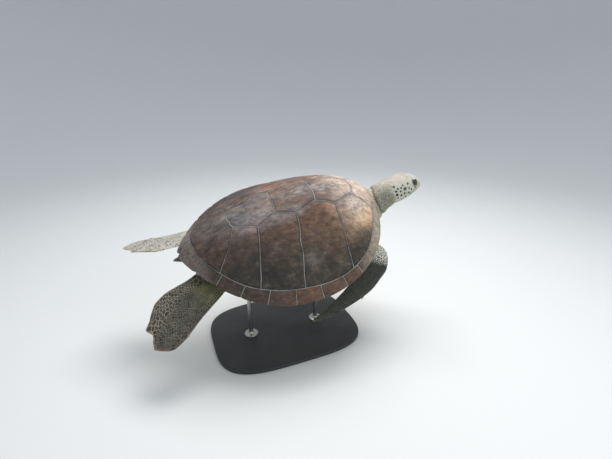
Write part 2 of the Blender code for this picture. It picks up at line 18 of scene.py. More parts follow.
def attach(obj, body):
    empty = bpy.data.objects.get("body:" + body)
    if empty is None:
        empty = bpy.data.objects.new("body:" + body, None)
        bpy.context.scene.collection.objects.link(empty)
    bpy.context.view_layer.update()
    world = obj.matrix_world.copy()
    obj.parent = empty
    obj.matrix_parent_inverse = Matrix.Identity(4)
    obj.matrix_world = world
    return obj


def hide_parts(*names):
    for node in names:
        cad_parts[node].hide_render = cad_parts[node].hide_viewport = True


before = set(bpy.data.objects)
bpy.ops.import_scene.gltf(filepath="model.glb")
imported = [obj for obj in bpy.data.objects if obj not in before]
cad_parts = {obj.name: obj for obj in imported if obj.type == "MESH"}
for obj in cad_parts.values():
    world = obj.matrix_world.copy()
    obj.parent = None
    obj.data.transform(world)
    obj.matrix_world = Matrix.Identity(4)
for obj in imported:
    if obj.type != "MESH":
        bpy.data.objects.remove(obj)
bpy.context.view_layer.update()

# ================================================================ dimensions, as in the CAD
SCL = 0.72
PITCH, BANK, SHELL_HEIGHT = math.radians(5.1), math.radians(26.8), 0.405
MM = 0.001 / SCL  # one millimetre, in SCL
HALF_WIDTH, WIDEST_AT = 0.394, 0.478
CREST, CREST_AT = 0.280, 0.378
NUCHAL_RISE, TAIL_RISE = 0.096, 0.053
FLANK = 1.439
SHELL_THICK = 0.024
BELLY, PLASTRON_THICK = -0.125, 0.014
G = 0.0003 / SCL

BODY = np.array(
    Matrix.Translation((0, 0, SHELL_HEIGHT))
    @ Matrix.Rotation(-PITCH, 4, "Y")
    @ Matrix.Rotation(BANK, 4, "X")
    @ Matrix.Scale(SCL, 4)
)
HEAD = np.array(
    Matrix.Translation((0.6564, -0.003, 0.1739))
    @ Matrix.Rotation(math.radians(6.5), 4, "Z")
    @ Matrix.Rotation(-math.radians(8.6), 4, "Y")
    @ Matrix.Rotation(-math.radians(23), 4, "X")
    @ Matrix.Scale(1.05, 4)
)
HEAD_INV = np.linalg.inv(HEAD)


def moved(m, p):
    return p @ m[:3, :3].T + m[:3, 3]


def to_world(p):
    return moved(BODY, p)


# ================================================================ small numeric tools
def lin(r, g, b):
    """A display colour, 0 to 255, as linear light."""
    c = np.array([r, g, b], float) / 255
    return np.where(c <= 0.04045, c / 12.92, ((c + 0.055) / 1.055) ** 2.4)


def step(a, b, x):
    t = np.clip((np.asarray(x, float) - a) / (b - a), 0, 1)
    return t * t * (3 - 2 * t)


def bell(x, centre, width):
    return np.exp(-(((np.asarray(x, float) - centre) / width) ** 2))


def mix(a, b, t):
    t = np.asarray(t)[..., None]
    return a * (1 - t) + b * t


def unit(v):
    return v / (np.linalg.norm(v, axis=-1, keepdims=True) + 1e-20)


def spline(points, t):
    p = np.asarray(points, float)
    t = np.atleast_1d(np.asarray(t, float))
    i = np.clip(np.floor(t).astype(int), 0, len(p) - 2)
    f = (t - i)[:, None]
    a, b, c, d = p[np.maximum(i - 1, 0)], p[i], p[i + 1], p[np.minimum(i + 2, len(p) - 1)]
    return 0.5 * (2 * b + (c - a) * f + (2 * a - 5 * b + 4 * c - d) * f**2 + (3 * b - a - 3 * c + d) * f**3)


def lattice(ix, iy, iz, seed):
    n = (ix * 374761393 + iy * 668265263 + iz * 1442695041 + seed * 974634777) & 0xFFFFFFFF
    n = ((n ^ (n >> 13)) * 1274126177) & 0xFFFFFFFF
    n = ((n ^ (n >> 15)) * 2246822519) & 0xFFFFFFFF
    return ((n ^ (n >> 16)) & 0xFFFF) / 32767.5 - 1


def noise(p, size, seed=0):
    """Smooth noise from -1 to 1 with bumps about this size; p is (n, 3)."""
    q = np.asarray(p, float) / size + 1000.0
    i = np.floor(q).astype(np.int64)
    f = q - i
    f = f * f * f * (f * (f * 6 - 15) + 10)
    out = 0.0
    for dx in (0, 1):
        for dy in (0, 1):
            for dz in (0, 1):
                w = (
                    (f[:, 0] if dx else 1 - f[:, 0])
                    * (f[:, 1] if dy else 1 - f[:, 1])
                    * (f[:, 2] if dz else 1 - f[:, 2])
                )
                out = out + w * lattice(i[:, 0] + dx, i[:, 1] + dy, i[:, 2] + dz, seed)
    return out


def fbm(p, size, seed=0, octaves=4):
    total, weight, norm = 0.0, 1.0, 0.0
    for k in range(octaves):
        total = total + weight * noise(p, size / 2**k, seed + 17 * k)
        norm += weight
        weight *= 0.55
    return total / norm


def scatter(n, seed, width=1):
    """n rows of numbers from -1 to 1."""
    k = np.arange(n, dtype=np.int64)
    return np.stack([lattice(k, k * 0 + j, k * 0, seed) for j in range(width)], 1)


def grid_normals(p, wrap=True):
    """Outward normals of a ring grid (rings, around, 3), whichever way it runs."""
    along = np.gradient(p, axis=0)
    if wrap:
        around = (np.roll(p, -1, 1) - np.roll(p, 1, 1)) / 2
    else:
        around = np.gradient(p, axis=1)
    n = unit(np.cross(around, along))
    middle = p.mean(axis=1, keepdims=True)
    if ((p - middle) * n).sum() < 0:
        n = -n
    return n


def tree_of(points):
    tree = KDTree(len(points))
    if points.shape[1] == 2:
        points = np.c_[points, np.zeros(len(points))]
    for k, p in enumerate(points.tolist()):
        tree.insert(p, k)
    tree.balance()
    return tree


def cells(points, seeds):
    """Nearest seed of each point, the distance to it, and to the border with the next cell."""
    if points.shape[1] == 2:
        points = np.c_[points, np.zeros(len(points))]
    if seeds.shape[1] == 2:
        seeds = np.c_[seeds, np.zeros(len(seeds))]
    tree = tree_of(seeds)
    find = tree.find_n
    rows = np.array([(a[1], b[1], a[2], b[2]) for a, b in (find(p, 2) for p in points.tolist())])
    i, j = rows[:, 0].astype(int), rows[:, 1].astype(int)
    apart = np.linalg.norm(seeds[i] - seeds[j], axis=1) + 1e-12
    border = (rows[:, 3] ** 2 - rows[:, 2] ** 2) / (2 * apart)
    return i, rows[:, 2], border


def line_distance(points, lines):
    """Distance of each point to the nearest of these polylines, each (k, 3) and finely cut."""
    joined = np.concatenate(lines)
    before = np.concatenate([np.r_[line[:1], line[:-1]] for line in lines])
    after = np.concatenate([np.r_[line[1:], line[-1:]] for line in lines])
    tree = tree_of(joined)
    find = tree.find
    near = np.fromiter((find(p)[1] for p in points.tolist()), int, len(points))
    best = np.full(len(points), 1e9)
    for other in (before[near], after[near]):
        a, d = joined[near], other - joined[near]
        t = np.clip(((points - a) * d).sum(1) / ((d * d).sum(1) + 1e-18), 0, 1)
        best = np.minimum(best, np.linalg.norm(points - a - d * t[:, None], axis=1))
    return best


# ================================================================ meshes from grids
class Build:
    """Collects ring grids with their attributes and texture places, as one mesh."""

    def __init__(self):
        self.points, self.quads, self.tris = [], [], []
        self.quad_uv, self.tri_uv = [], []
        self.values = {}
        self.count = 0

    def grid(self, p, patch, values, start=None, end=None, flip=False, uv=None):
        """Rings p (r, a, 3) closed round. start and end: None, "fan" or "strip".

        patch = (x, y, width, height) in the texture; uv overrides it with (r, a + 1, 2).
        """
        r, a = p.shape[:2]
        base = self.count
        index = base + np.arange(r * a).reshape(r, a)
        right = np.roll(index, -1, 1)
        quads = np.stack([index[:-1], right[:-1], right[1:], index[1:]], -1).reshape(-1, 4)
        if uv is None:
            x0, y0, w, h = patch
            gu, gv = np.meshgrid(np.linspace(0, 1, a + 1), np.linspace(0.01, 0.99, r))
            uv = np.stack([x0 + w * gu, y0 + h * gv], -1)
        corner = np.stack([uv[:-1, :-1], uv[:-1, 1:], uv[1:, 1:], uv[1:, :-1]], 2).reshape(-1, 4, 2)
        pts = [p.reshape(-1, 3)]
        vals = {k: [np.asarray(v, float).reshape(r * a, -1)] for k, v in values.items()}
        extra = 0
        tris, tri_uv = [], []
        for ring, row, kind, other in ((index[0], 0, start, True), (index[-1], r - 1, end, False)):
            if kind == "fan":
                tip = base + r * a + extra
                extra += 1
                pts.append(p[row].mean(0, keepdims=True))
                for k in vals:
                    vals[k].append(vals[k][0].reshape(r, a, -1)[row].mean(0, keepdims=True))
                nxt = np.roll(ring, -1)
                t = np.stack([nxt, ring, np.full(a, tip)], -1)
                edge = uv[row]
                middle = edge.mean(0) + np.array([0, -0.004 if other else 0.004])
                tu = np.stack([edge[1:], edge[:-1], np.repeat(middle[None], a, 0)], 1)
                if not other:
                    t, tu = t[:, ::-1], tu[:, ::-1]
                tris.append(t)
                tri_uv.append(tu)
            elif kind == "strip":
                half = a // 2
                j = np.arange(1, half - 1)
                q = np.stack([ring[j], ring[j + 1], ring[a - j - 1], ring[a - j]], -1)
                qu = np.stack([uv[row, j], uv[row, j + 1], uv[row, j + 1], uv[row, j]], 1)
                qu[:, 2:, 1] += -0.003 if other else 0.003
                t = np.array([[ring[0], ring[1], ring[a - 1]], [ring[half - 1], ring[half], ring[half + 1]]])
                tu = np.stack([uv[row, [0, 1, 1]], uv[row, [half - 1, half, half - 1]]], 0)
                tu[:, 2, 1] += -0.003 if other else 0.003
                if other:
                    q, qu, t, tu = q[:, ::-1], qu[:, ::-1], t[:, ::-1], tu[:, ::-1]
                quads = np.concatenate([quads, q])
                corner = np.concatenate([corner, qu])
                tris.append(t)
                tri_uv.append(tu)
        # faces outwards
        v = np.concatenate(pts)
        local = quads - base
        c = v[local].mean(1)
        n = np.cross(v[local[:, 2]] - v[local[:, 0]], v[local[:, 3]] - v[local[:, 1]])
        inside_out = ((c - v.mean(0)) * n).sum() < 0
        if inside_out != flip:
            quads, corner = quads[:, ::-1], corner[:, ::-1]
            tris = [t[:, ::-1] for t in tris]
            tri_uv = [t[:, ::-1] for t in tri_uv]
        self.points.append(v)
        self.quads.append(quads)
        self.quad_uv.append(corner)
        self.tris += tris
        self.tri_uv += tri_uv
        for k, parts in vals.items():
            self.values.setdefault(k, []).append(np.concatenate(parts))
        self.count += len(v)
        return base

    def object(self, name, material, world=True):
        v = np.concatenate(self.points)
        if world:
            v = to_world(v)
        quads = np.concatenate(self.quads)
        tris = np.concatenate(self.tris) if self.tris else np.zeros((0, 3), int)
        uv = self.quad_uv + ([np.concatenate(self.tri_uv)] if self.tris else [])
        uv = np.concatenate([u.reshape(-1, 2) for u in uv])
        mesh = bpy.data.meshes.new(name)
        loops = np.concatenate([quads.ravel(), tris.ravel()])
        totals = np.concatenate([np.full(len(quads), 4), np.full(len(tris), 3)])
        starts = np.concatenate([[0], np.cumsum(totals)[:-1]])
        mesh.vertices.add(len(v))
        mesh.vertices.foreach_set("co", v.astype(np.float32).ravel())
        mesh.loops.add(len(loops))
        mesh.loops.foreach_set("vertex_index", loops.astype(np.int32))
        mesh.polygons.add(len(totals))
        mesh.polygons.foreach_set("loop_start", starts.astype(np.int32))
        mesh.update(calc_edges=True)
        layer = mesh.uv_layers.new(name="OFBake")
        layer.uv.foreach_set("vector", uv.astype(np.float32).ravel())
        for k, parts in self.values.items():
            data = np.concatenate(parts)
            if data.shape[1] == 1:
                mesh.attributes.new(k, "FLOAT", "POINT").data.foreach_set("value", data.astype(np.float32).ravel())
            elif k == "tint":
                data = np.c_[np.clip(data, 0, 1), np.ones(len(data))]
                mesh.attributes.new(k, "FLOAT_COLOR", "POINT").data.foreach_set("color", data.astype(np.float32).ravel())
            else:
                mesh.attributes.new(k, "FLOAT_VECTOR", "POINT").data.foreach_set("vector", data.astype(np.float32).ravel())
        mesh.shade_smooth()
        mesh.validate()
        obj = bpy.data.objects.new(name, mesh)
        bpy.context.scene.collection.objects.link(obj)
        mesh.materials.append(material)
        return obj


# ================================================================ the shell's surface
def half_width(u):
    u = np.clip(u, 0, 1)
    front = HALF_WIDTH * (1 - np.abs(1 - u / WIDEST_AT) ** 2.3).clip(0) ** (1 / 1.9)
    rear = HALF_WIDTH * (1 - (np.maximum(u - WIDEST_AT, 0) / (1 - WIDEST_AT)) ** 2.1).clip(0) ** (1 / 1.217)
    return np.where(u < WIDEST_AT, front, rear)


def rim_height(u):
    front = np.clip((0.45 - u) / 0.45, 0, 1) ** 1.6
    rear = np.clip((u - 0.55) / 0.45, 0, 1) ** 1.6
    return NUCHAL_RISE * front + TAIL_RISE * rear


def ridge_height(u):
    z0, z1 = NUCHAL_RISE, TAIL_RISE
    front = z0 + (CREST - z0) * (1 - np.abs(1 - u / CREST_AT) ** 2.4).clip(0) ** (1 / 1.7)
    rear = z1 + (CREST - z1) * (1 - (np.maximum(u - CREST_AT, 0) / (1 - CREST_AT)) ** 1.9).clip(0) ** (1 / 1.25)
    return np.where(u < CREST_AT, front, rear)


def rim(theta):
    u = 0.5 - 0.5 * np.cos(theta)
    y = half_width(u) * np.where(np.sin(theta) >= 0, 1, -1)
    return 0.5 - u, y, rim_height(u)


def shell_top(x, y):
    u = np.clip(0.5 - x, 0, 1)
    t = np.minimum(np.abs(y) / np.maximum(half_width(u), 1e-6), 1)
    low = rim_height(u)
    return low + (ridge_height(u) - low) * (1 - FLANK * t**2 - (1 - FLANK) * t**4)


def plan(theta, r):
    ex, ey, ez = rim(theta)
    return 0.02 + r * (ex - 0.02), r * ey, ez


_theta = np.linspace(0, math.pi, 4001)
_rx, _ry, _ = rim(_theta)
_bearing = np.arctan2(_ry, _rx - 0.02)


def polar_of(x, y):
    """(theta, r) of a point in plan."""
    bearing = np.arctan2(np.abs(y), np.asarray(x) - 0.02)
    theta = np.interp(bearing, _bearing, _theta)
    ex, ey, _ = rim(theta)
    r = np.hypot(x - 0.02, y) / np.hypot(ex - 0.02, ey)
    return np.where(np.asarray(y) >= 0, theta, 2 * math.pi - theta), r


def on_shell(u, y):
    x = 0.5 - np.asarray(u, float)
    return np.stack([x, y, shell_top(x, y)], -1)


# ================================================================ scutes of the carapace
# along the back: where the corners between the vertebral and costal plates lie
RIDGE_U = (0.060, 0.187, 0.287, 0.378, 0.478, 0.565, 0.653, 0.752, 0.780, 0.850)
RIDGE_Y = (0.112, 0.052, 0.088, 0.060, 0.093, 0.063, 0.094, 0.045, 0.110, 0.176)
VERTEBRAL_U = (0.187, 0.378, 0.565, 0.752)  # seams across the back
COSTAL = (((0.287, 0.088), (0.268, 0.322)), ((0.478, 0.093), (0.515, 0.343)), ((0.653, 0.094), (0.702, 0.291)))
MARGINAL_U = (0.010, 0.045, 0.090, 0.149, 0.228, 0.318, 0.442, 0.569, 0.687, 0.788, 0.874, 0.944)
MARGINAL_THETA = np.arccos(1 - 2 * np.array(MARGINAL_U))
# how wide the marginal plates are, by their place round the rim from nape to tail
_knots = np.array([(0, 0.058), (0.30, 0.058), (0.55, 0.044), (0.80, 0.033), (1.10, 0.034), (1.40, 0.041),
                   (1.65, 0.048), (1.90, 0.045), (2.18, 0.035), (2.45, 0.038), (2.70, 0.041), (2.90, 0.058), (math.pi, 0.068)])  # fmt: skip
MARGINAL_AT = np.linspace(0, math.pi, 200)
MARGINAL_WIDTH = np.interp(MARGINAL_AT, _knots[:, 0], _knots[:, 1])
MARGINAL_WIDTH = np.convolve(np.pad(MARGINAL_WIDTH, 7, "edge"), np.ones(15) / 15, "valid")


def marginal_r(theta):
    """Where the marginal plates begin, on the way from the middle to the rim."""
    ex, ey, _ = rim(theta)
    u = 0.5 - ex
    theta = np.arccos(np.clip(1 - 2 * u, -1, 1))
    width = np.interp(theta, MARGINAL_AT, MARGINAL_WIDTH)
    return 1 - width / np.hypot(ex - 0.02, ey)


def ridge_y(u):
    return np.interp(u, RIDGE_U, RIDGE_Y)


def wavy(t, seed, size=0.0016):
    """A slight wander of a seam, zero at its ends."""
    p = np.c_[t * 7.0, np.full(len(t), seed * 3.7), np.zeros(len(t))]
    return noise(p, 1.0, seed) * size * np.sin(math.pi * np.clip(t, 0, 1))


def vertebral_seam(k, y):
    u, end = VERTEBRAL_U[k], RIDGE_Y[2 * k + 1]
    s = np.clip(np.abs(y) / end, 0, 1)
    bow = (-0.020, -0.008, -0.004, 0.012)[k]
    t = (np.asarray(y) / end + 1) / 2
    return u + bow * (1 - s**2) + wavy(np.clip(t, 0, 1), 11 + k, 0.004)


def costal_seam(k, y, side):
    (u0, y0), (u1, y1) = COSTAL[k]
    t = np.clip((np.asarray(y) - y0) / (y1 - y0), 0, 1.2)
    bow = (0.003, -0.004, -0.005)[k]
    return u0 + (u1 - u0) * t + bow * np.sin(math.pi * np.clip(t, 0, 1)) + wavy(np.clip(t, 0, 1), 31 + k + 5 * side, 0.004)


def sample(n, a, b):
    return np.linspace(a, b, n)


def seam_lines():
    long, cross = [], []
    theta = sample(1600, 0, 2 * math.pi)
    x, y, _ = plan(theta, marginal_r(theta))
    long.append(on_shell(0.5 - x, y))
    for side in (1, -1):
        for k in range(len(RIDGE_U) - 1):
            u = sample(90, RIDGE_U[k], RIDGE_U[k + 1])
            y = ridge_y(u)
            th, r = polar_of(0.5 - u, y)
            keep = r < marginal_r(th) + 0.002
            if keep.sum() > 2:
                long.append(on_shell(u[keep], side * y[keep]))
        for k in range(3):
            (u0, y0), (u1, y1) = COSTAL[k]
            y = sample(220, y0 - 0.002, y1 + 0.02)
            u = costal_seam(k, y, side)
            th, r = polar_of(0.5 - u, y)
            keep = r < marginal_r(th) + 0.002
            cross.append(on_shell(u[keep], side * y[keep]))
    for k in range(4):
        end = RIDGE_Y[2 * k + 1] + 0.001
        y = sample(120, -end, end)
        cross.append(on_shell(vertebral_seam(k, y), y))
    for th in MARGINAL_THETA:
        for side in (1, -1):
            r = sample(50, float(marginal_r(th)), 1.0)
            x, y, _ = plan(th, r)
            cross.append(on_shell(0.5 - x, side * y))
    r = sample(60, float(marginal_r(math.pi)), 1.0)
    x, y, _ = plan(math.pi, r)
    cross.append(on_shell(0.5 - x, y * 0))
    return long, cross


def scute_of(u, y, theta, r):
    """Region (0 vertebral, 1 costal, 2 marginal) and plate number within it."""
    side = np.where(y >= 0, 1, -1)
    around = np.minimum(theta, 2 * math.pi - theta)
    marginal = r > marginal_r(theta)
    vertebral = ~marginal & (np.abs(y) < ridge_y(u))
    region = np.where(marginal, 2, np.where(vertebral, 0, 1))
    number = np.zeros(len(u), int)
    for k in range(4):
        number += vertebral & (u > vertebral_seam(k, y))
    costal = region == 1
    for k in range(3):
        seam = np.where(side > 0, costal_seam(k, np.abs(y), 1), costal_seam(k, np.abs(y), -1))
        number += costal & (u > seam)
    for th in MARGINAL_THETA:
        number += marginal & (around > th)
    return region, number, side


# ================================================================ materials
def nodes_of(name, rough=0.5):
    mat = bpy.data.materials.new(name)
    mat.use_nodes = True
    tree = mat.node_tree
    tree.nodes.clear()
    out = tree.nodes.new("ShaderNodeOutputMaterial")
    shader = tree.nodes.new("ShaderNodeBsdfPrincipled")
    tree.links.new(shader.outputs[0], out.inputs[0])
    shader.inputs["Roughness"].default_value = rough
    return mat, N(tree), shader


class N:
    """Short names for shader nodes."""

    def __init__(self, tree):
        self.tree = tree

    def put(self, socket, value):
        if isinstance(value, bpy.types.NodeSocket):
            self.tree.links.new(value, socket)
        elif isinstance(value, (tuple, list, np.ndarray)) and socket.type == "RGBA":
            socket.default_value = (*[float(x) for x in value], 1.0)[:4]
        elif isinstance(value, (tuple, list, np.ndarray)):
            socket.default_value = [float(x) for x in value]
        else:
            socket.default_value = value

    def attribute(self, name, out="Fac"):
        node = self.tree.nodes.new("ShaderNodeAttribute")
        node.attribute_name = name
        return node.outputs[out]

    def place(self):
        return self.tree.nodes.new("ShaderNodeTexCoord").outputs["Object"]

    def math(self, op, a, b=0.0, c=0.0, clamp=False):
        node = self.tree.nodes.new("ShaderNodeMath")
        node.operation = op
        node.use_clamp = clamp
        for socket, value in zip(node.inputs, (a, b, c)):
            self.put(socket, value)
        return node.outputs[0]

    def vector(self, op, a, b=(0, 0, 0)):
        node = self.tree.nodes.new("ShaderNodeVectorMath")
        node.operation = op
        self.put(node.inputs[0], a)
        self.put(node.inputs[1], b)
        return node.outputs[0]

    def ramp(self, value, a, b, to0=0.0, to1=1.0, smooth=True):
        node = self.tree.nodes.new("ShaderNodeMapRange")
        node.interpolation_type = "SMOOTHSTEP" if smooth else "LINEAR"
        self.put(node.inputs["Value"], value)
        for key, x in (("From Min", a), ("From Max", b), ("To Min", to0), ("To Max", to1)):
            self.put(node.inputs[key], x)
        return node.outputs[0]

    def mix(self, fac, a, b, blend="MIX"):
        node = self.tree.nodes.new("ShaderNodeMix")
        node.data_type = "RGBA"
        node.blend_type = blend
        node.clamp_factor = True
        self.put(node.inputs[0], fac)
        self.put(node.inputs[6], a)
        self.put(node.inputs[7], b)
        return node.outputs[2]

    def noise(self, vector, scale, detail=4.0, rough=0.55, distort=0.0, out=0):
        node = self.tree.nodes.new("ShaderNodeTexNoise")
        self.put(node.inputs["Vector"], vector)
        for key, x in (("Scale", scale), ("Detail", detail), ("Roughness", rough), ("Distortion", distort)):
            self.put(node.inputs[key], x)
        return node.outputs[out]

    def cells(self, vector, scale, feature="F1", random=1.0):
        node = self.tree.nodes.new("ShaderNodeTexVoronoi")
        node.feature = feature
        self.put(node.inputs["Vector"], vector)
        self.put(node.inputs["Scale"], scale)
        self.put(node.inputs["Randomness"], random)
        return node.outputs["Distance"]

    def bump(self, height, strength, distance, normal=None):
        node = self.tree.nodes.new("ShaderNodeBump")
        self.put(node.inputs["Height"], height)
        node.inputs["Strength"].default_value = strength
        node.inputs["Distance"].default_value = distance
        if normal is not None:
            self.put(node.inputs["Normal"], normal)
        return node.outputs[0]


# ================================================================ carapace
def seam_width(n, long_at, cross_at, mid_at):
    """Distance to the nearest seam, in metres, from the three signed distances."""
    a = n.math("ABSOLUTE", long_at)
    b = n.math("ABSOLUTE", cross_at)
    c = n.math("ABSOLUTE", mid_at)
    return n.math("MINIMUM", n.math("MINIMUM", a, b), c)


def carapace_material():
    mat, n, shader = nodes_of("carapace_keratin")
    place = n.place()
    tint = n.attribute("tint", "Color")
    streak = n.attribute("streak", "Vector")
    seam = seam_width(n, n.attribute("seam_long"), n.attribute("seam_cross"), n.attribute("seam_mid"))
    seam = n.math("ADD", seam, n.ramp(n.noise(place, 260.0, 3), 0.3, 0.7, -0.0005, 0.0005, False))

    # rays that spread from each plate's growth centre
    rays = n.noise(n.vector("MULTIPLY", streak, (1.7, 1.5, 1.0)), 1.0, 6, 0.66, 0.9)
    fine_rays = n.noise(n.vector("MULTIPLY", streak, (4.6, 3.6, 1.0)), 1.0, 5, 0.62, 0.5)
    drift = n.noise(n.vector("MULTIPLY", place, (30.0, 74.0, 92.0)), 1.0, 6, 0.68, 0.7)
    fleck = n.noise(place, 70.0, 6, 0.70, 0.4)
    colour = n.mix(n.ramp(rays, 0.46, 0.64, 0.0, 0.32), tint, n.mix(1.0, tint, (1.60, 1.46, 1.28), "MULTIPLY"))
    colour = n.mix(n.ramp(rays, 0.54, 0.38, 0.0, 0.40), colour, n.mix(1.0, tint, (0.46, 0.48, 0.50), "MULTIPLY"))
    colour = n.mix(n.ramp(fine_rays, 0.50, 0.36, 0.0, 0.34), colour, n.mix(1.0, tint, (0.50, 0.51, 0.54), "MULTIPLY"))
    colour = n.mix(n.ramp(drift, 0.52, 0.38, 0.0, 0.50), colour, n.mix(1.0, colour, (0.46, 0.48, 0.50), "MULTIPLY"))
    colour = n.mix(n.ramp(drift, 0.54, 0.68, 0.0, 0.42), colour, n.mix(1.0, colour, (1.70, 1.58, 1.44), "MULTIPLY"))
    colour = n.mix(n.ramp(fleck, 0.56, 0.40, 0.0, 0.40), colour, n.mix(1.0, colour, (0.54, 0.55, 0.56), "MULTIPLY"))
    # smoky clouds of algae film, and pale scuffs
    smoke = n.noise(place, 11.0, 6, 0.62, 0.8)
    colour = n.mix(n.ramp(smoke, 0.50, 0.66, 0.0, 0.55), colour, n.mix(1.0, colour, (0.48, 0.51, 0.53), "MULTIPLY"))
    scuff = n.noise(n.vector("MULTIPLY", place, (34.0, 52.0, 52.0)), 1.0, 6, 0.66, 0.5)
    colour = n.mix(n.ramp(scuff, 0.54, 0.72, 0.0, 0.20), colour, tuple(lin(182, 166, 150)))
    grain = n.noise(place, 420.0, 4, 0.6)
    colour = n.mix(n.ramp(grain, 0.35, 0.65, 0.30, 0.0), colour, n.mix(1.0, colour, (0.62, 0.62, 0.64), "MULTIPLY"))
    # seams: a pale line, with painted shade darkening the horn beside it and deeper painted shade in the groove
    seam_side_shade = n.ramp(seam, 0.0056, 0.0012, 0.0, 0.55)
    colour = n.mix(seam_side_shade, colour, n.mix(1.0, tint, (0.34, 0.35, 0.38), "MULTIPLY"))
    groove_shade = n.math("MULTIPLY", n.ramp(seam, 0.0082, 0.0016, 0.0, 0.80), n.attribute("seam_shadow"))
    colour = n.mix(groove_shade, colour, tuple(lin(34, 38, 40)))
    worn = n.ramp(n.noise(place, 24.0, 3), 0.30, 0.56, 0.36, 0.86)
    line = n.math("MULTIPLY", n.ramp(seam, 0.0016, 0.0005), worn)
    line = n.math("MULTIPLY", line, n.attribute("seam_pale"))
    colour = n.mix(line, colour, tuple(lin(172, 176, 172)))
    n.put(shader.inputs["Base Color"], colour)
    n.put(shader.inputs["Roughness"], n.ramp(n.noise(place, 60.0, 4), 0.3, 0.7, 0.52, 0.74))
    shader.inputs["Specular IOR Level"].default_value = 0.42
    rings = n.noise(n.vector("MULTIPLY", streak, (0.6, 9.0, 1.0)), 1.0, 3, 0.5)
    height = n.math("ADD", n.math("MULTIPLY", rings, 0.5), n.math("MULTIPLY", grain, 0.35))
    height = n.math("ADD", height, n.math("MULTIPLY", n.noise(place, 90.0, 5), 0.7))
    height = n.math("ADD", height, n.math("MULTIPLY", rays, 0.5))
    n.put(shader.inputs["Normal"], n.bump(height, 0.55, 0.0012))
    return mat


def carapace_tint(u, y, region, number, side):
    """Ground colour of the plates: warm tan towards the shoulders, reddish along the edge,
    dark in the lower flank, greyed over the back and towards the tail; painted sheen makes the front
    of the back pale pinkish white and the rim at the tail pale grey."""
    t = np.abs(y) / np.maximum(half_width(u), 1e-3)
    pts = np.stack([u, y, 0 * u], -1)
    cloud = fbm(pts, 0.17, 301, 5)
    cloud = np.where(cloud < 0, cloud * (0.25 + 0.75 * step(0.12, 0.34, u)), cloud)
    patch = fbm(pts * np.array([1.0, 1.5, 1.0]), 0.060, 311, 4)
    speck = fbm(pts * np.array([0.8, 1.5, 1.0]), 0.022, 321, 3)
    base = np.repeat(lin(106, 84, 68)[None], len(u), 0)
    base = mix(base, lin(232, 192, 152), np.clip(1.30 * bell(u, 0.115, 0.135) * bell(t, 0.46, 0.28), 0, 0.95))
    base = mix(base, lin(150, 118, 92), 0.75 * bell(u, 0.27, 0.07) * bell(t, 0.42, 0.20))
    base = mix(base, lin(146, 112, 84), 0.50 * bell(u, 0.30, 0.05) * bell(t, 0.66, 0.09))
    base = mix(base, lin(122, 84, 68), 0.60 * bell(u, 0.50, 0.24) * bell(t, 0.30, 0.15))
    low = step(0.48, 0.76, t + 0.10 * patch) * step(0.05, 0.16, u) * step(0.95, 0.78, u)
    base = mix(base, lin(54, 53, 48), 0.86 * low)
    base = mix(base, lin(54, 53, 50), 0.85 * bell(u, 0.68, 0.16) * bell(t, 0.56, 0.28))
    base = mix(base, lin(134, 126, 114), 0.60 * bell(u, 0.46, 0.040) * bell(t, 0.68, 0.07))
    base = mix(base, lin(116, 100, 84), 0.55 * bell(u, 0.32, 0.035) * bell(t, 0.74, 0.06))
    back = bell(t, 0.0, 0.22)
    base = mix(base, lin(128, 104, 96), 0.60 * back * step(0.1, 0.40, u) * step(0.80, 0.55, u))
    base = mix(base, lin(88, 86, 88), 0.60 * step(0.62, 0.92, u) * step(0.75, 0.1, t))
    # painted sheen: the front of the back, which faces up, is made pale pinkish white
    base = mix(base, lin(226, 205, 190), 0.90 * step(0.37, 0.17, u) * step(0.60, 0.22, t + 0.12 * patch))
    # rusty patches high on the flank, a grey bloom over the back, dark mottling everywhere
    rust = step(0.0, 0.5, cloud) * step(0.10, 0.30, t) * step(0.70, 0.45, t) * step(0.10, 0.3, u)
    base = mix(base, lin(132, 88, 68), 0.40 * rust)
    bloom = step(-0.05, 0.50, fbm(pts * np.array([0.7, 1.3, 1.0]), 0.12, 331, 5)) * bell(t, 0.08, 0.30) * step(0.12, 0.35, u)
    base = mix(base, lin(150, 150, 154), 0.50 * bloom * step(0.98, 0.70, u))
    base = base * (1 + (0.30 * cloud + 0.34 * patch + 0.40 * speck) * (0.50 + 0.50 * step(0.15, 0.38, u)))[:, None]
    edge = region == 2
    rim_tone = lin(108, 82, 66)[None] * (1 + 0.25 * patch + 0.35 * speck)[:, None]
    base[edge] = mix(base, rim_tone, np.full(len(u), 0.78))[edge]
    pale = edge & (u < 0.30)
    base[pale] = mix(base, lin(196, 186, 168), 0.75 * step(0.28, 0.10, u))[pale]
    dim = edge & (u > 0.60)
    base[dim] = mix(base, lin(84, 72, 64), 0.70 * step(0.60, 0.74, u) * step(0.93, 0.84, u))[dim]
    # painted sheen: the marginals at the tail are made pale grey
    tail = edge & (u > 0.86)
    base[tail] = mix(base, lin(146, 136, 128), 0.75 * step(0.86, 0.94, u))[tail]
    # each plate a little different
    k = region * 40 + number * 3 + (side > 0) * (region > 0)
    shift = lattice(k.astype(np.int64), 0 * k, 0 * k, 5)[:, None]
    warm = lattice(k.astype(np.int64), 0 * k + 1, 0 * k, 6)[:, None]
    base = base * (1 + 0.13 * shift) * (1 + 0.06 * warm * np.array([1.0, 0.0, -1.0]))
    return np.clip(base, 0.004, 1)


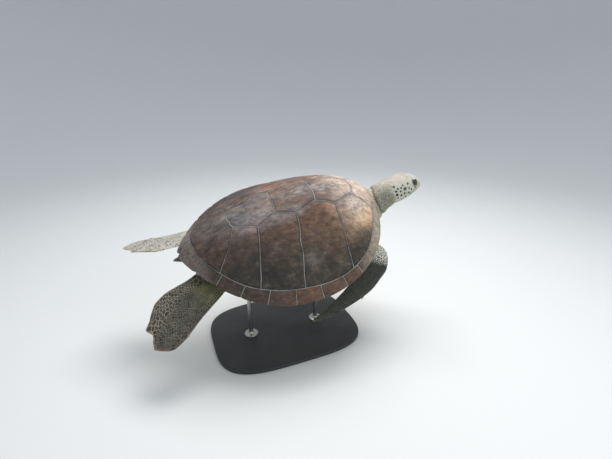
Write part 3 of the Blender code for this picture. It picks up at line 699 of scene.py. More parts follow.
def growth_centre(region, number, side, u, y):
    """Hind corner that each plate's rays spread from."""
    cu, cy = np.zeros(len(u)), np.zeros(len(u))
    ends = (0.20, 0.40, 0.585, 0.765, 0.96)
    for k in range(5):
        m = (region == 0) & (number == k)
        cu[m] = ends[k]
    for k, (a, b) in enumerate(((0.30, 0.11), (0.50, 0.12), (0.68, 0.11), (0.82, 0.10))):
        m = (region == 1) & (number == k)
        cu[m], cy[m] = a, b * side[m]
    bounds = np.r_[0.0, MARGINAL_U, 1.0]
    m = region == 2
    cu[m] = bounds[np.minimum(number[m] + 1, len(bounds) - 1)] + 0.01
    cy[m] = side[m] * (half_width(cu[m]) + 0.01)
    return cu, cy


def seam_fields(u, y, theta, r, pos):
    region, number, side = scute_of(u, y, theta, r)
    long, cross = seam_lines()
    d_long = line_distance(pos, long) * SCL
    d_cross = line_distance(pos, cross) * SCL
    s_long = np.where(region == 1, -1, 1) * d_long
    s_cross = np.where(number % 2 == 0, 1, -1) * d_cross
    tail = (region == 2) & (u > 0.9)
    s_mid = np.where(tail, y * SCL, 0.06)
    return region, number, side, s_long, s_cross, s_mid


def carapace():
    around = 880
    theta = np.linspace(0, 2 * math.pi, around, endpoint=False)
    # even spacing round the rim
    ex, ey, ez = rim(theta)
    length = np.r_[0, np.cumsum(np.hypot(np.diff(np.r_[ex, ex[:1]]), np.diff(np.r_[ey, ey[:1]])))]
    theta = np.interp(np.linspace(0, length[-1], around, endpoint=False), length, np.r_[theta, 2 * math.pi])
    rows_r = np.r_[np.linspace(0.012, 0.93, 196), np.linspace(0.9345, 1.0, 17)]
    x, y, _ = plan(theta[None], rows_r[:, None])
    top = np.stack([x, y, shell_top(x, y)], -1)
    shape = top.shape[:2]
    flat = top.reshape(-1, 3)
    u = 0.5 - flat[:, 0]
    th = np.broadcast_to(theta[None], shape).ravel()
    rr = np.broadcast_to(rows_r[:, None], shape).ravel()
    region, number, side, s_long, s_cross, s_mid = seam_fields(u, flat[:, 1], th, rr, flat)
    gap = np.minimum(np.minimum(np.abs(s_long), np.abs(s_cross)), np.abs(s_mid))
    normal = grid_normals(top)
    if normal[..., 2].mean() < 0:
        normal = -normal
    # each plate swells a little, and its edge falls into a narrow groove
    plate = 0.9 * step(0.0, 0.016, gap) + 0.9 * step(0.0, 0.0032, gap) - 1.1
    plate += 0.5 * noise(flat, 0.11, 3) + 0.35 * noise(flat, 0.045, 4) + 0.12 * noise(flat, 0.016, 9)
    fade = step(1.004, 0.95, rr)
    # low keel along the hind vertebral plates
    keel = 1.6 * bell(flat[:, 1], 0, 0.012) * step(0.40, 0.60, u) * step(0.98, 0.85, u)
    h = (plate * (0.35 + 0.65 * fade) + keel).reshape(shape)
    top = top + normal * h[..., None] * MM
    # the free edge dips in slightly at each marginal seam, more towards the tail
    nick = bell(np.abs(s_cross), 0, 0.006) * step(0.93, 1.0, rr) * (region == 2)
    nick += bell(s_mid, 0, 0.007) * step(0.93, 1.0, rr) * 1.6
    outward = unit(np.stack([flat[:, 0] - 0.02, flat[:, 1], 0 * u], -1))
    pull = nick * (0.9 + 3.2 * step(0.70, 0.95, u))
    top = top - (outward * pull[:, None]).reshape(top.shape) * MM

    cu, cy = growth_centre(region, number, side, u, flat[:, 1])
    angle = np.arctan2(flat[:, 1] - cy, -(u - cu))
    far = np.hypot(flat[:, 1] - cy, u - cu)
    k = region * 50 + number * 5 + (side > 0) * 2
    # seams are worn pale unevenly, least over the back; painted shade darkens the groove along the front edge of each
    # plate
    across = np.abs(flat[:, 1]) / np.maximum(half_width(u), 1e-3)
    broken = step(-0.35, 0.35, fbm(flat, 0.085, 341, 3))
    pale = 0.35 + 0.65 * broken + (0.35 - 0.35 * broken) * step(0.45, 0.62, across)
    middle = np.bincount(k, u, minlength=k.max() + 1) / np.maximum(np.bincount(k, minlength=k.max() + 1), 1)
    # dark: how strong the painted shade in each seam's groove is
    dark = np.where((region == 1) & (u < middle[k]), 1.0, 0.25) * step(-0.75, 0.15, fbm(flat, 0.10, 351, 3))
    dark = np.where(region == 0, 0.6 * step(-0.3, 0.3, fbm(flat, 0.07, 361, 3)), dark)
    streak = np.stack([angle * 7.0 * np.clip(far / 0.08, 0.5, 1.5) ** 0.3, far * 16.0, k * 3.1], -1)
    values = {
        "tint": carapace_tint(u, flat[:, 1], region, number, side),
        "streak": streak,
        "seam_long": s_long,
        "seam_cross": s_cross,
        "seam_mid": s_mid,
        "seam_pale": pale,
        "seam_shadow": dark,
    }
    values = {k2: v.reshape(*shape, -1) for k2, v in values.items()}

    # rolled edge and underside
    profile = spline([(1.0, 0.0), (1.006, 0.006), (0.990, 0.014), (0.860, 0.020), (0.830, 0.012)], np.r_[np.linspace(0, 2, 11)[1:], np.linspace(2, 4, 22)[1:]])
    under = []
    for rad, below in profile:
        x, y, z = plan(theta, rad)
        under.append(np.stack([x, y, z - below], -1))
    nick_rim = (outward * pull[:, None]).reshape(top.shape)[-1]
    under = np.array(under)
    fall = step(0.93, 1.0, profile[:, 0])
    under = under - nick_rim[None] * fall[:, None, None] * MM
    for rad in (0.80, 0.60, 0.32, 0.05):
        x, y, _ = plan(theta, rad)
        under = np.concatenate([under, np.stack([x, y, shell_top(x, y) - SHELL_THICK], -1)[None]])
    rows = len(under)
    low = {}
    for key, v in values.items():
        low[key] = np.repeat(v[-1:], rows, 0)
    rad = np.r_[profile[:, 0], 0.8, 0.6, 0.32, 0.05]
    cream = step(1.0, 0.965, rad)[:, None] * np.ones(around)
    reach = np.exp(-0.5 * (np.minimum(np.arange(around), around - np.arange(around)) / 16.0) ** 2)
    calm = np.fft.irfft(np.fft.rfft(values["tint"][-1], axis=0) * np.fft.rfft(reach / reach.sum())[:, None], around, axis=0)
    low["tint"] = mix(low["tint"], calm[None], step(1.004, 0.992, rad)[:, None] * np.ones(around))
    low["tint"] = mix(low["tint"], lin(206, 190, 152), cream)
    low["streak"] = np.stack([under[..., 0] * 26, under[..., 1] * 26, under[..., 2] * 26], -1)
    low["seam_pale"] = low["seam_pale"] * (0.25 + 0.75 * step(0.95, 1.0, rad))[:, None, None]
    p = np.concatenate([top, under])
    vals = {key: np.concatenate([values[key], low[key]]) for key in values}
    # texture: the top in plan, the underside as a ring of its own kind beside it
    def flat_uv(q, scale, cx, cy_):
        q = np.concatenate([q, q[:, :1]], 1)
        return np.stack([cx + q[..., 1] * scale, cy_ + q[..., 0] * scale], -1)
    b = Build()
    n_top = len(top)
    uv_top = flat_uv(np.stack([*plan(theta[None], (rows_r * 1.02)[:, None])[:2]], -1), 0.70, 0.29, 0.64)
    uv = np.concatenate([uv_top, flat_uv(np.stack([*plan(theta[None], (2.04 - rad)[:, None])[:2]], -1), 0.70, 0.29, 0.64)])
    del uv_top
    # ring grid for the top and edge; hidden ceiling rows share the far end of the map
    lo_, hi_ = uv.reshape(-1, 2).min(0), uv.reshape(-1, 2).max(0)
    uv = 0.004 + (uv - lo_) / (hi_ - lo_).max() * 0.992
    b.grid(p, None, vals, start="fan", end="fan", uv=uv)
    obj = b.object("carapace_shell", carapace_material())
    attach(obj, "root")
    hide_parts("carapace")
    return obj


carapace()


# ================================================================ ring grids of the limbs
def even(fn, rows, around, bias=0.25):
    """Angles spaced nearly evenly round each ring, the points, and the arc length from angle 0."""
    fine = np.linspace(0, 2 * math.pi, 541)
    p = fn(rows, np.broadcast_to(fine, (len(rows), len(fine))))
    run = np.cumsum(np.linalg.norm(np.diff(p, axis=1), axis=2), axis=1)
    run = np.concatenate([np.zeros((len(rows), 1)), run], 1)
    share = (1 - bias) * run / run[:, -1:] + bias * fine / (2 * math.pi)
    target = np.linspace(0, 1, around, endpoint=False)
    a = np.array([np.interp(target, s, fine) for s in share])
    arc = np.array([np.interp(x, fine, r) for x, r in zip(a, run)])
    return a, fn(rows, a), arc, run[:, -1]


def even_rows(fn, low, high, count):
    """Row parameters spaced evenly along the limb, and their distance along it."""
    t = np.linspace(low, high, 400)
    a = np.broadcast_to(np.linspace(0, 2 * math.pi, 24, endpoint=False), (400, 24))
    p = fn(t, a)
    run = np.r_[0, np.cumsum(np.linalg.norm(np.diff(p, axis=0), axis=2).mean(axis=1))]
    s = np.linspace(0, run[-1], count)
    return np.interp(s, run, t), s


ELBOW = np.array([0.473, 0.265, -0.050])
FRONT_TIP = np.array([0.021, 0.398, -0.200])
SPAN = FRONT_TIP - ELBOW
SPAN_DIR = SPAN / np.linalg.norm(SPAN)
TO_TRAIL = unit(np.array([-0.40, -0.74, 0.55]))


def on_blade(s, c):
    return ELBOW + SPAN_DIR * s + TO_TRAIL * c


FRONT_STATIONS = np.array([
    np.r_[a, b, t]
    for a, b, t in [
        ((0.380, 0.112, -0.005), (0.275, 0.160, -0.050), 0.068),
        ((0.425, 0.146, -0.008), (0.308, 0.184, -0.050), 0.072),
        ((0.462, 0.198, -0.020), (0.342, 0.206, -0.045), 0.069),
        ((0.484, 0.250, -0.042), (0.372, 0.222, -0.036), 0.060),
        (on_blade(0.032, -0.043), on_blade(0.085, 0.060), 0.050),
        (on_blade(0.090, -0.062), on_blade(0.130, 0.056), 0.040),
        (on_blade(0.160, -0.076), on_blade(0.190, 0.036), 0.031),
        (on_blade(0.240, -0.073), on_blade(0.255, 0.017), 0.024),
        (on_blade(0.320, -0.061), on_blade(0.325, 0.008), 0.018),
        (on_blade(0.400, -0.043), on_blade(0.400, 0.001), 0.013),
        (on_blade(0.460, -0.022), on_blade(0.458, 0.002), 0.009),
        (on_blade(0.491, -0.005), on_blade(0.488, 0.002), 0.005),
    ]
])  # fmt: skip


def blade(t, a):
    """Front flipper of the left side: t along the stations, angle 0 at the trailing edge."""
    last = len(FRONT_STATIONS) - 1
    row = spline(FRONT_STATIONS, t)
    ahead = spline(FRONT_STATIONS, np.minimum(t + 0.05, last)) - spline(FRONT_STATIONS, np.maximum(t - 0.05, 0))
    along = (ahead[:, :3] + ahead[:, 3:6]) / 2
    lead, trail, thick = row[:, :3], row[:, 3:6], row[:, 6]
    chord = trail - lead
    normal = unit(np.cross(chord, along))
    normal = np.where(normal[:, 2:] < 0, -normal, normal)
    c = np.sign(np.cos(a)) * np.abs(np.cos(a)) ** 0.9
    p = ((lead + trail) / 2)[:, None] + (chord / 2)[:, None] * c[..., None]
    return p + normal[:, None] * (np.sin(a) * (thick / 2)[:, None] * (1 - 0.30 * c))[..., None]


def smoothed(at, value, spread):
    """A table of a curve through these points, its corners eased over spread of its length."""
    x = np.linspace(at[0], at[-1], 241)
    n = round(spread * 120)
    y = np.pad(np.interp(x, at, value), n, mode="reflect", reflect_type="odd")
    return x, np.convolve(y, np.ones(2 * n + 1) / (2 * n + 1), "valid")


# half widths of a hind flipper on the side of the tail and on the outer side, and its far edge
HIND_INNER = smoothed((0, 0.37, 0.49, 0.64, 0.76, 0.88, 0.945, 1), (0.066, 0.083, 0.0954, 0.1085, 0.109, 0.1065, 0.1037, 0.097), 0.10)
HIND_OUTER = smoothed((0, 0.40, 0.54, 0.65, 0.78, 0.845, 0.935, 1), (0.066, 0.0805, 0.084, 0.0905, 0.1, 0.1005, 0.1, 0.095), 0.10)
HIND_REACH = smoothed(
    (-1, -0.85, -0.69, -0.57, -0.50, -0.42, -0.30, -0.13, 0, 0.11, 0.40, 0.66, 0.89, 1),
    (0.765, 0.825, 0.873, 0.925, 0.960, 0.962, 0.954, 0.944, 0.962, 0.990, 1.028, 0.989, 0.945, 0.905),
    0.03,
)
HIND = {
    -1: dict(root=(-0.306, 0.093, -0.024), heading=math.radians(28), roll=math.radians(24), length=0.435, trim=0.0),
    1: dict(root=(-0.300, 0.150, -0.034), heading=math.radians(3), roll=math.radians(30), length=0.430, trim=0.10),
}


def hind_reach(v, r, trim):
    return 1 + (np.interp(v, *HIND_REACH) - trim * np.maximum(-v, 0) - 1) * r**2


def paddle(side):
    """Hind flipper: r along it from 0 to 1, angle 0 at the outer edge. y isn't mirrored yet."""
    place = HIND[side]
    root, heading, roll = np.array(place["root"]), place["heading"], place["roll"]
    sole = np.array([0.0, math.sin(roll), math.cos(roll)])
    axis = np.array([-math.cos(heading), math.sin(heading), 0.0])
    axis[2] = -axis[1] * math.tan(roll)
    axis = unit(axis)
    outward = np.cross(axis, sole)
    if outward[1] < 0:
        outward = -outward

    def point(r, a):
        r = r[:, None]
        thick = 0.054 * (1 - r) ** 1.5 + 0.0045
        thick = thick * (1 - 0.65 * np.clip((r - 0.90) / 0.10, 0, 1))
        v = np.sign(np.cos(a)) * np.abs(np.cos(a)) ** 0.85
        width = np.where(v > 0, np.interp(r, *HIND_OUTER), np.interp(r, *HIND_INNER))
        reach = hind_reach(v, r, place["trim"])
        p = root + axis * (r * place["length"] * reach)[..., None] + outward * (v * width)[..., None]
        return p + sole * (np.sin(a) * (thick / 2) * (1.15 + 0.25 * v))[..., None]

    return point


NECK = [
    (0.345, 0.000, -0.018, 0.088, 0.070),
    (0.420, 0.002, 0.000, 0.092, 0.076),
    (0.475, 0.006, 0.024, 0.090, 0.070),
    (0.515, 0.008, 0.066, 0.083, 0.070),
    (0.550, 0.002, 0.118, 0.077, 0.070),
    (0.590, -0.008, 0.155, 0.072, 0.067),
    (0.630, -0.006, 0.168, 0.070, 0.065),
]
HEAD_STATIONS = [
    (-0.115, 0.050, -0.056, 0.058),
    (-0.085, 0.056, -0.060, 0.066),
    (-0.050, 0.0605, -0.0610, 0.0715),
    (-0.015, 0.0605, -0.0590, 0.0720),
    (0.015, 0.0560, -0.0560, 0.0665),
    (0.040, 0.0475, -0.0535, 0.0570),
    (0.062, 0.0360, -0.0510, 0.0460),
    (0.080, 0.0210, -0.0485, 0.0345),
    (0.092, 0.0030, -0.0455, 0.0235),
    (0.099, -0.0140, -0.0420, 0.0125),
]


def neck_ring(t, a):
    row = spline(NECK, t)
    ahead = spline(NECK, np.minimum(t + 0.05, 6)) - spline(NECK, np.maximum(t - 0.05, 0))
    tilt = np.arctan2(ahead[:, 2], ahead[:, 0])[:, None]
    turn = math.radians(23) * step(1.5, 5.0, t)[:, None]
    b = a - turn
    yy, zz = np.cos(b) * row[:, 3:4], np.sin(b) * row[:, 4:5]
    # the foot of the neck narrows below, into the chest
    foot = step(0.7, 2.4, t)[:, None]
    zz = np.where(zz < 0, zz * (0.45 + 0.55 * foot), zz)
    return np.stack([row[:, 0:1] - np.sin(tilt) * zz, row[:, 1:2] + yy, row[:, 2:3] + np.cos(tilt) * zz], -1)


def head_ring(h, a):
    """h along the head's stations; beyond the last one the snout rounds off."""
    last = len(HEAD_STATIONS) - 1
    row = spline(HEAD_STATIONS, np.minimum(h, last))
    over = np.clip(h - last, 0, 1)[:, None]
    shrink = 1 - over
    x, top, bottom, w = row[:, 0:1] + 0.0046 * (1 - (1 - over) ** 2), row[:, 1:2], row[:, 2:3], row[:, 3:4]
    middle, half = (top + bottom) / 2, (top - bottom) / 2
    ca, sa = np.cos(a), np.sin(a)
    power = np.where(sa > 0, 0.86, 0.92)
    yy = np.sign(ca) * np.abs(ca) ** 0.90 * w * shrink
    zz = middle + np.sign(sa) * np.abs(sa) ** power * half * shrink
    local = np.stack([np.broadcast_to(x, yy.shape), yy, zz], -1)
    return moved(HEAD, local)


def neck_and_head(q, a):
    """q from 0, deep in the body, through the nape near 4.4 to the snout."""
    t = np.clip(q, 0, 6)
    h = (q - 4.2) / 1.2 * 1.83
    w = step(4.05, 5.25, q)[:, None, None]
    return neck_ring(t, a) * (1 - w) + head_ring(np.clip(h, 0, None), a) * w


def tail_ring(t, a):
    stations = [(-0.36, -0.020, 0.034), (-0.41, -0.010, 0.029), (-0.450, 0.000, 0.022),
                (-0.485, 0.007, 0.0145), (-0.512, 0.009, 0.007), (-0.522, 0.008, 0.002)]  # fmt: skip
    row = spline(stations, t)
    x, z, r = row[:, 0:1], row[:, 1:2], row[:, 2:3]
    return np.stack([np.broadcast_to(x, a.shape), np.cos(a) * r * 1.1, z + np.sin(a) * r], -1)


def bowl(theta, r, reach, centre_z, edge_below):
    x, y, z = plan(theta, r)
    power = 3.2 + 9.0 * np.abs(np.cos(theta)) ** 3
    return np.stack([x, y, centre_z + (z - edge_below - centre_z) * (r / reach) ** power], -1)


# ================================================================ skin: scale patterns
def seed_rows(length, half, size, seed, low=None):
    """Staggered rows of cell centres over (along, across), with cells of size(s, a)."""
    out, a, k = [], -half if low is None else low, 0
    while a < half:
        h0 = float(size(length * 0.5, a))
        s = (k % 2) * 0.5 * float(size(0.0, a))
        while s < length:
            h = float(size(s, a))
            out.append((s, a, h))
            s += h * 1.12
        a += h0 * 0.90
        k += 1
    out = np.array(out)
    out[:, :2] += scatter(len(out), seed, 2) * out[:, 2:] * 0.34
    return out[:, :2]


def seed_surface(points, size, seed):
    """Cell centres strewn over a surface: no two nearer than size, which may vary by point."""
    order = np.argsort(scatter(len(points), seed)[:, 0], kind="stable")
    cell = float(np.max(size))
    kept, sizes, bins = [], [], {}
    for k in order.tolist():
        p, r = points[k], size[k]
        key = (int(p[0] // cell), int(p[1] // cell), int(p[2] // cell))
        clash = False
        for dx in (-1, 0, 1):
            for dy in (-1, 0, 1):
                for dz in (-1, 0, 1):
                    for m in bins.get((key[0] + dx, key[1] + dy, key[2] + dz), ()):
                        q = kept[m]
                        if (p[0] - q[0]) ** 2 + (p[1] - q[1]) ** 2 + (p[2] - q[2]) ** 2 < r * r:
                            clash = True
                            break
                    if clash:
                        break
                if clash:
                    break
            if clash:
                break
        if not clash:
            bins.setdefault(key, []).append(len(kept))
            kept.append(p)
            sizes.append(r)
    return np.array(kept)


SKIN_CREAM = lin(226, 220, 200)
SKIN_YELLOW = lin(196, 186, 128)


def scale_relief(border, width, height):
    """Pillow height of a scale, in mm: flat on top, falling to a crease at its border."""
    return height * (step(0.0, width, border) ** 0.8 - 0.6)


def flare(p, normal, tree, reach, amount):
    """Swells a limb's root outwards where it nears the body, so that they flow together."""
    flat, out = p.reshape(-1, 3), np.zeros(p.shape[0] * p.shape[1])
    for k, q in enumerate(flat.tolist()):
        hit = tree.find_nearest(q, reach * 1.2)
        if hit[0] is None:
            continue
        d = hit[3]
        side = (Vector(q) - hit[0]).dot(hit[1])
        out[k] = (1 - min(d / reach, 1)) ** 2 if side > 0 else 1.0
    return p + normal * (out.reshape(p.shape[:2]) * amount)[..., None]


def smooth_around(field, steps_along, steps_around):
    for _ in range(steps_along):
        field = np.concatenate([field[:1], (field[:-2] + 2 * field[1:-1] + field[2:]) / 4, field[-1:]])
    for _ in range(steps_around):
        field = (np.roll(field, 1, 1) + 2 * field + np.roll(field, -1, 1)) / 4
    return field


def plain_tree(rings):
    r, a = rings.shape[:2]
    idx = np.arange(r * a).reshape(r, a)
    nxt = np.roll(idx, -1, 1)
    quads = np.stack([idx[:-1], nxt[:-1], nxt[1:], idx[1:]], -1).reshape(-1, 4)
    v = rings.reshape(-1, 3)
    c, n = v[quads].mean(1), np.cross(v[quads[:, 2]] - v[quads[:, 0]], v[quads[:, 3]] - v[quads[:, 1]])
    if ((c - v.mean(0)) * n).sum() < 0:
        quads = quads[:, ::-1]
    return BVHTree.FromPolygons([Vector(q) for q in v.tolist()], quads.tolist())


def under_shell(p, margin=0.0):
    """Keeps flesh below the carapace's underside, where it lies inside the rim."""
    flat = p.reshape(-1, 3).copy()
    theta, r = polar_of(flat[:, 0], flat[:, 1])
    edge = rim(theta)[2]
    below = np.interp(r, (0.80, 0.83, 0.86, 0.990, 1.006), (0.012, 0.012, 0.020, 0.014, 0.006))
    ceiling = np.where(r < 0.81, shell_top(flat[:, 0], flat[:, 1]) - SHELL_THICK * 0.6, edge - below + 0.004)
    inside = r < 1.0
    flat[:, 2] = np.where(inside, np.minimum(flat[:, 2], ceiling - margin), flat[:, 2])
    return flat.reshape(p.shape)


def trunk_grid():
    around = 420
    theta = np.linspace(0, 2 * math.pi, around, endpoint=False)
    top = BELLY + PLASTRON_THICK + G
    rows = []
    for r in (0.05, 0.32, 0.60, 0.79):
        x, y, _ = plan(theta, r)
        rows.append(np.stack([x, y, shell_top(x, y) - SHELL_THICK - 1.2 * G], -1))
    x, y, z = plan(theta, 0.826)
    wall = np.stack([x, y, z - 0.014], -1)
    first = bowl(theta, 0.86, 0.86, top, 0.0215 + G)
    for s in np.linspace(0, 1, 8):
        rows.append(wall * (1 - s) + first * s)
    for r in np.r_[np.linspace(0.855, 0.42, 92), 0.30, 0.18, 0.06]:
        rows.append(bowl(theta, r, 0.86, top, 0.0215 + G))
    return np.array(rows)


def skin_material():
    mat, n, shader = nodes_of("turtle_skin")
    place = n.place()
    fine = n.noise(place, 520.0, 4, 0.6)
    broad = n.noise(place, 38.0, 5, 0.6, 0.4)
    edge = n.math("ADD", n.attribute("edge", "Fac"), n.math("MULTIPLY", n.math("SUBTRACT", fine, 0.5), 0.7))
    colour = n.mix(n.ramp(edge, -0.40, 0.40), n.attribute("net", "Vector"), n.attribute("tint", "Color"))
    crease = n.attribute("crease", "Fac")
    # painted shade: darker in the creases at the scales' borders
    colour = n.mix(n.ramp(crease, 0.10, 0.75, 0.30, 0.0), colour, n.mix(1.0, colour, (0.52, 0.48, 0.42), "MULTIPLY"))
    colour = n.mix(n.ramp(broad, 0.40, 0.66, 0.0, 0.26), colour, n.mix(1.0, colour, (0.66, 0.64, 0.60), "MULTIPLY"))
    colour = n.mix(n.ramp(fine, 0.34, 0.60, 0.30, 0.0), colour, n.mix(1.0, colour, (0.66, 0.66, 0.66), "MULTIPLY"))
    freckle = n.cells(place, 300.0)
    colour = n.mix(n.ramp(freckle, 0.10, 0.30, 0.16, 0.0), colour, tuple(lin(70, 66, 56)))
    n.put(shader.inputs["Base Color"], colour)
    n.put(shader.inputs["Roughness"], n.ramp(n.noise(place, 120.0, 3), 0.3, 0.7, 0.46, 0.62))
    shader.inputs["Specular IOR Level"].default_value = 0.35
    wrinkle = n.cells(n.vector("ADD", place, n.vector("MULTIPLY", n.noise(place, 90.0, 3, out=1), (0.004,) * 3)), 620.0, "DISTANCE_TO_EDGE")
    height = n.math("ADD", n.math("MULTIPLY", fine, 0.6), n.ramp(wrinkle, 0.0, 0.14, 0.0, 0.55))
    height = n.math("ADD", height, n.ramp(crease, 0.0, 0.6, 0.0, 0.8))
    n.put(shader.inputs["Normal"], n.bump(height, 0.45, 0.0006))
    return mat


# ================================================================ skin: front flippers
def front_flipper(b, side, patch, body_tree):
    t, s = even_rows(blade, 0.0, 11.0, 360)
    a, p, arc, total = even(blade, t, 168)
    normal = grid_normals(p)
    p = flare(p, normal, body_tree, 0.040, 0.017)
    half_at = np.array([np.interp(math.pi, x, y) for x, y in zip(a, arc)])
    across = arc - half_at[:, None]  # 0 on the leading edge, negative on the upper face
    along = np.repeat(s[:, None], a.shape[1], 1)
    tt = np.repeat(t[:, None], a.shape[1], 1)

    def size(u, v):
        d = abs(v)
        h = 16 - 8.2 * min(d / 0.030, 1) if d < 0.030 else 7.8
        if u < 0.26:
            h = h * (0.66 + 0.34 * u / 0.26)
        if u > 0.36:
            h *= 1.0 + 0.25 * min((u - 0.36) / 0.2, 1)
        return h * MM

    seeds = seed_rows(s[-1] + 0.01, 0.19, size, 21 + side)
    flat = np.stack([along.ravel(), across.ravel()], 1)
    cell, far, border = cells(flat, seeds)
    border, far = border.reshape(a.shape) / MM, far.reshape(a.shape) / MM
    pick = scatter(len(seeds), 77, 3)[cell].reshape(*a.shape, 3)
    body = p.reshape(-1, 3)
    ragged = 0.10 * noise(body, 0.012, 8).reshape(a.shape) + 0.08 * pick[..., 1]
    shoulder = step(4.10, 3.92, tt - 0.22 * np.cos(a) + ragged)
    upper = step(0.006, -0.006, across + 0.006 * noise(body, 0.02, 18).reshape(a.shape))
    # upper face: dark scales in a faint net; cream with dark dots over the shoulder
    dark = mix(lin(38, 43, 40)[None, None], lin(58, 59, 50)[None, None], 0.5 + 0.5 * pick[..., 0])
    net = mix(lin(74, 78, 68)[None, None], lin(210, 208, 196)[None, None], shoulder)
    net = mix(net, lin(108, 112, 98)[None, None], 0.5 * step(0.055, 0.02, np.abs(across)) * (1 - shoulder))
    edge = border - np.where(pick[..., 1] > 0.25, 0.7, 0.45)
    inner = shoulder * step(4.2, 2.9, tt)
    edge = mix(edge[..., None], (1.75 + 0.8 * pick[..., 1] - far * 0.95)[..., None], inner)[..., 0]
    dot = mix(dark, lin(64, 74, 66)[None, None], shoulder)
    # lower face: cream with a dusky patch towards the tip
    dusk = step(5.2, 8.2, tt + 0.8 * noise(body, 0.05, 28).reshape(a.shape))
    lower = mix(SKIN_CREAM[None, None], lin(206, 194, 150)[None, None], 0.5 + 0.5 * noise(body, 0.06, 38).reshape(a.shape))
    lower = mix(lower, lin(92, 88, 78)[None, None], 0.75 * dusk)
    colour = mix(lower, dot, upper)
    net = mix(mix(lower, lin(182, 174, 146)[None, None], np.full(a.shape, 0.5)), net, upper)
    trail = step(0.90, 0.985, np.abs(across) / (total[:, None] / 2)) * step(3.5, 4.6, tt)
    colour = mix(colour, lin(112, 112, 98)[None, None], 0.35 * trail)
    colour = colour * (1 + 0.10 * pick[..., 2:3])
    slim = step(11.0, 9.0, tt)
    height = scale_relief(border, 2.0, 0.55) * (0.35 + 0.65 * slim)
    height += 1.2 * noise(body, 0.05, 48).reshape(a.shape) * step(5.0, 2.0, tt)
    # creases where the arm folds under the shell
    fold = np.sin(tt * 9.0 + 1.6 * noise(body, 0.05, 58).reshape(a.shape))
    height -= 1.5 * step(0.45, 1.0, fold) * step(2.4, 1.2, tt)
    p = p + normal * (height * MM)[..., None]
    p = under_shell(p)
    p[..., 1] *= side
    b.grid(p, patch, {"tint": colour, "net": net, "edge": edge, "crease": border}, start="strip", end="strip")


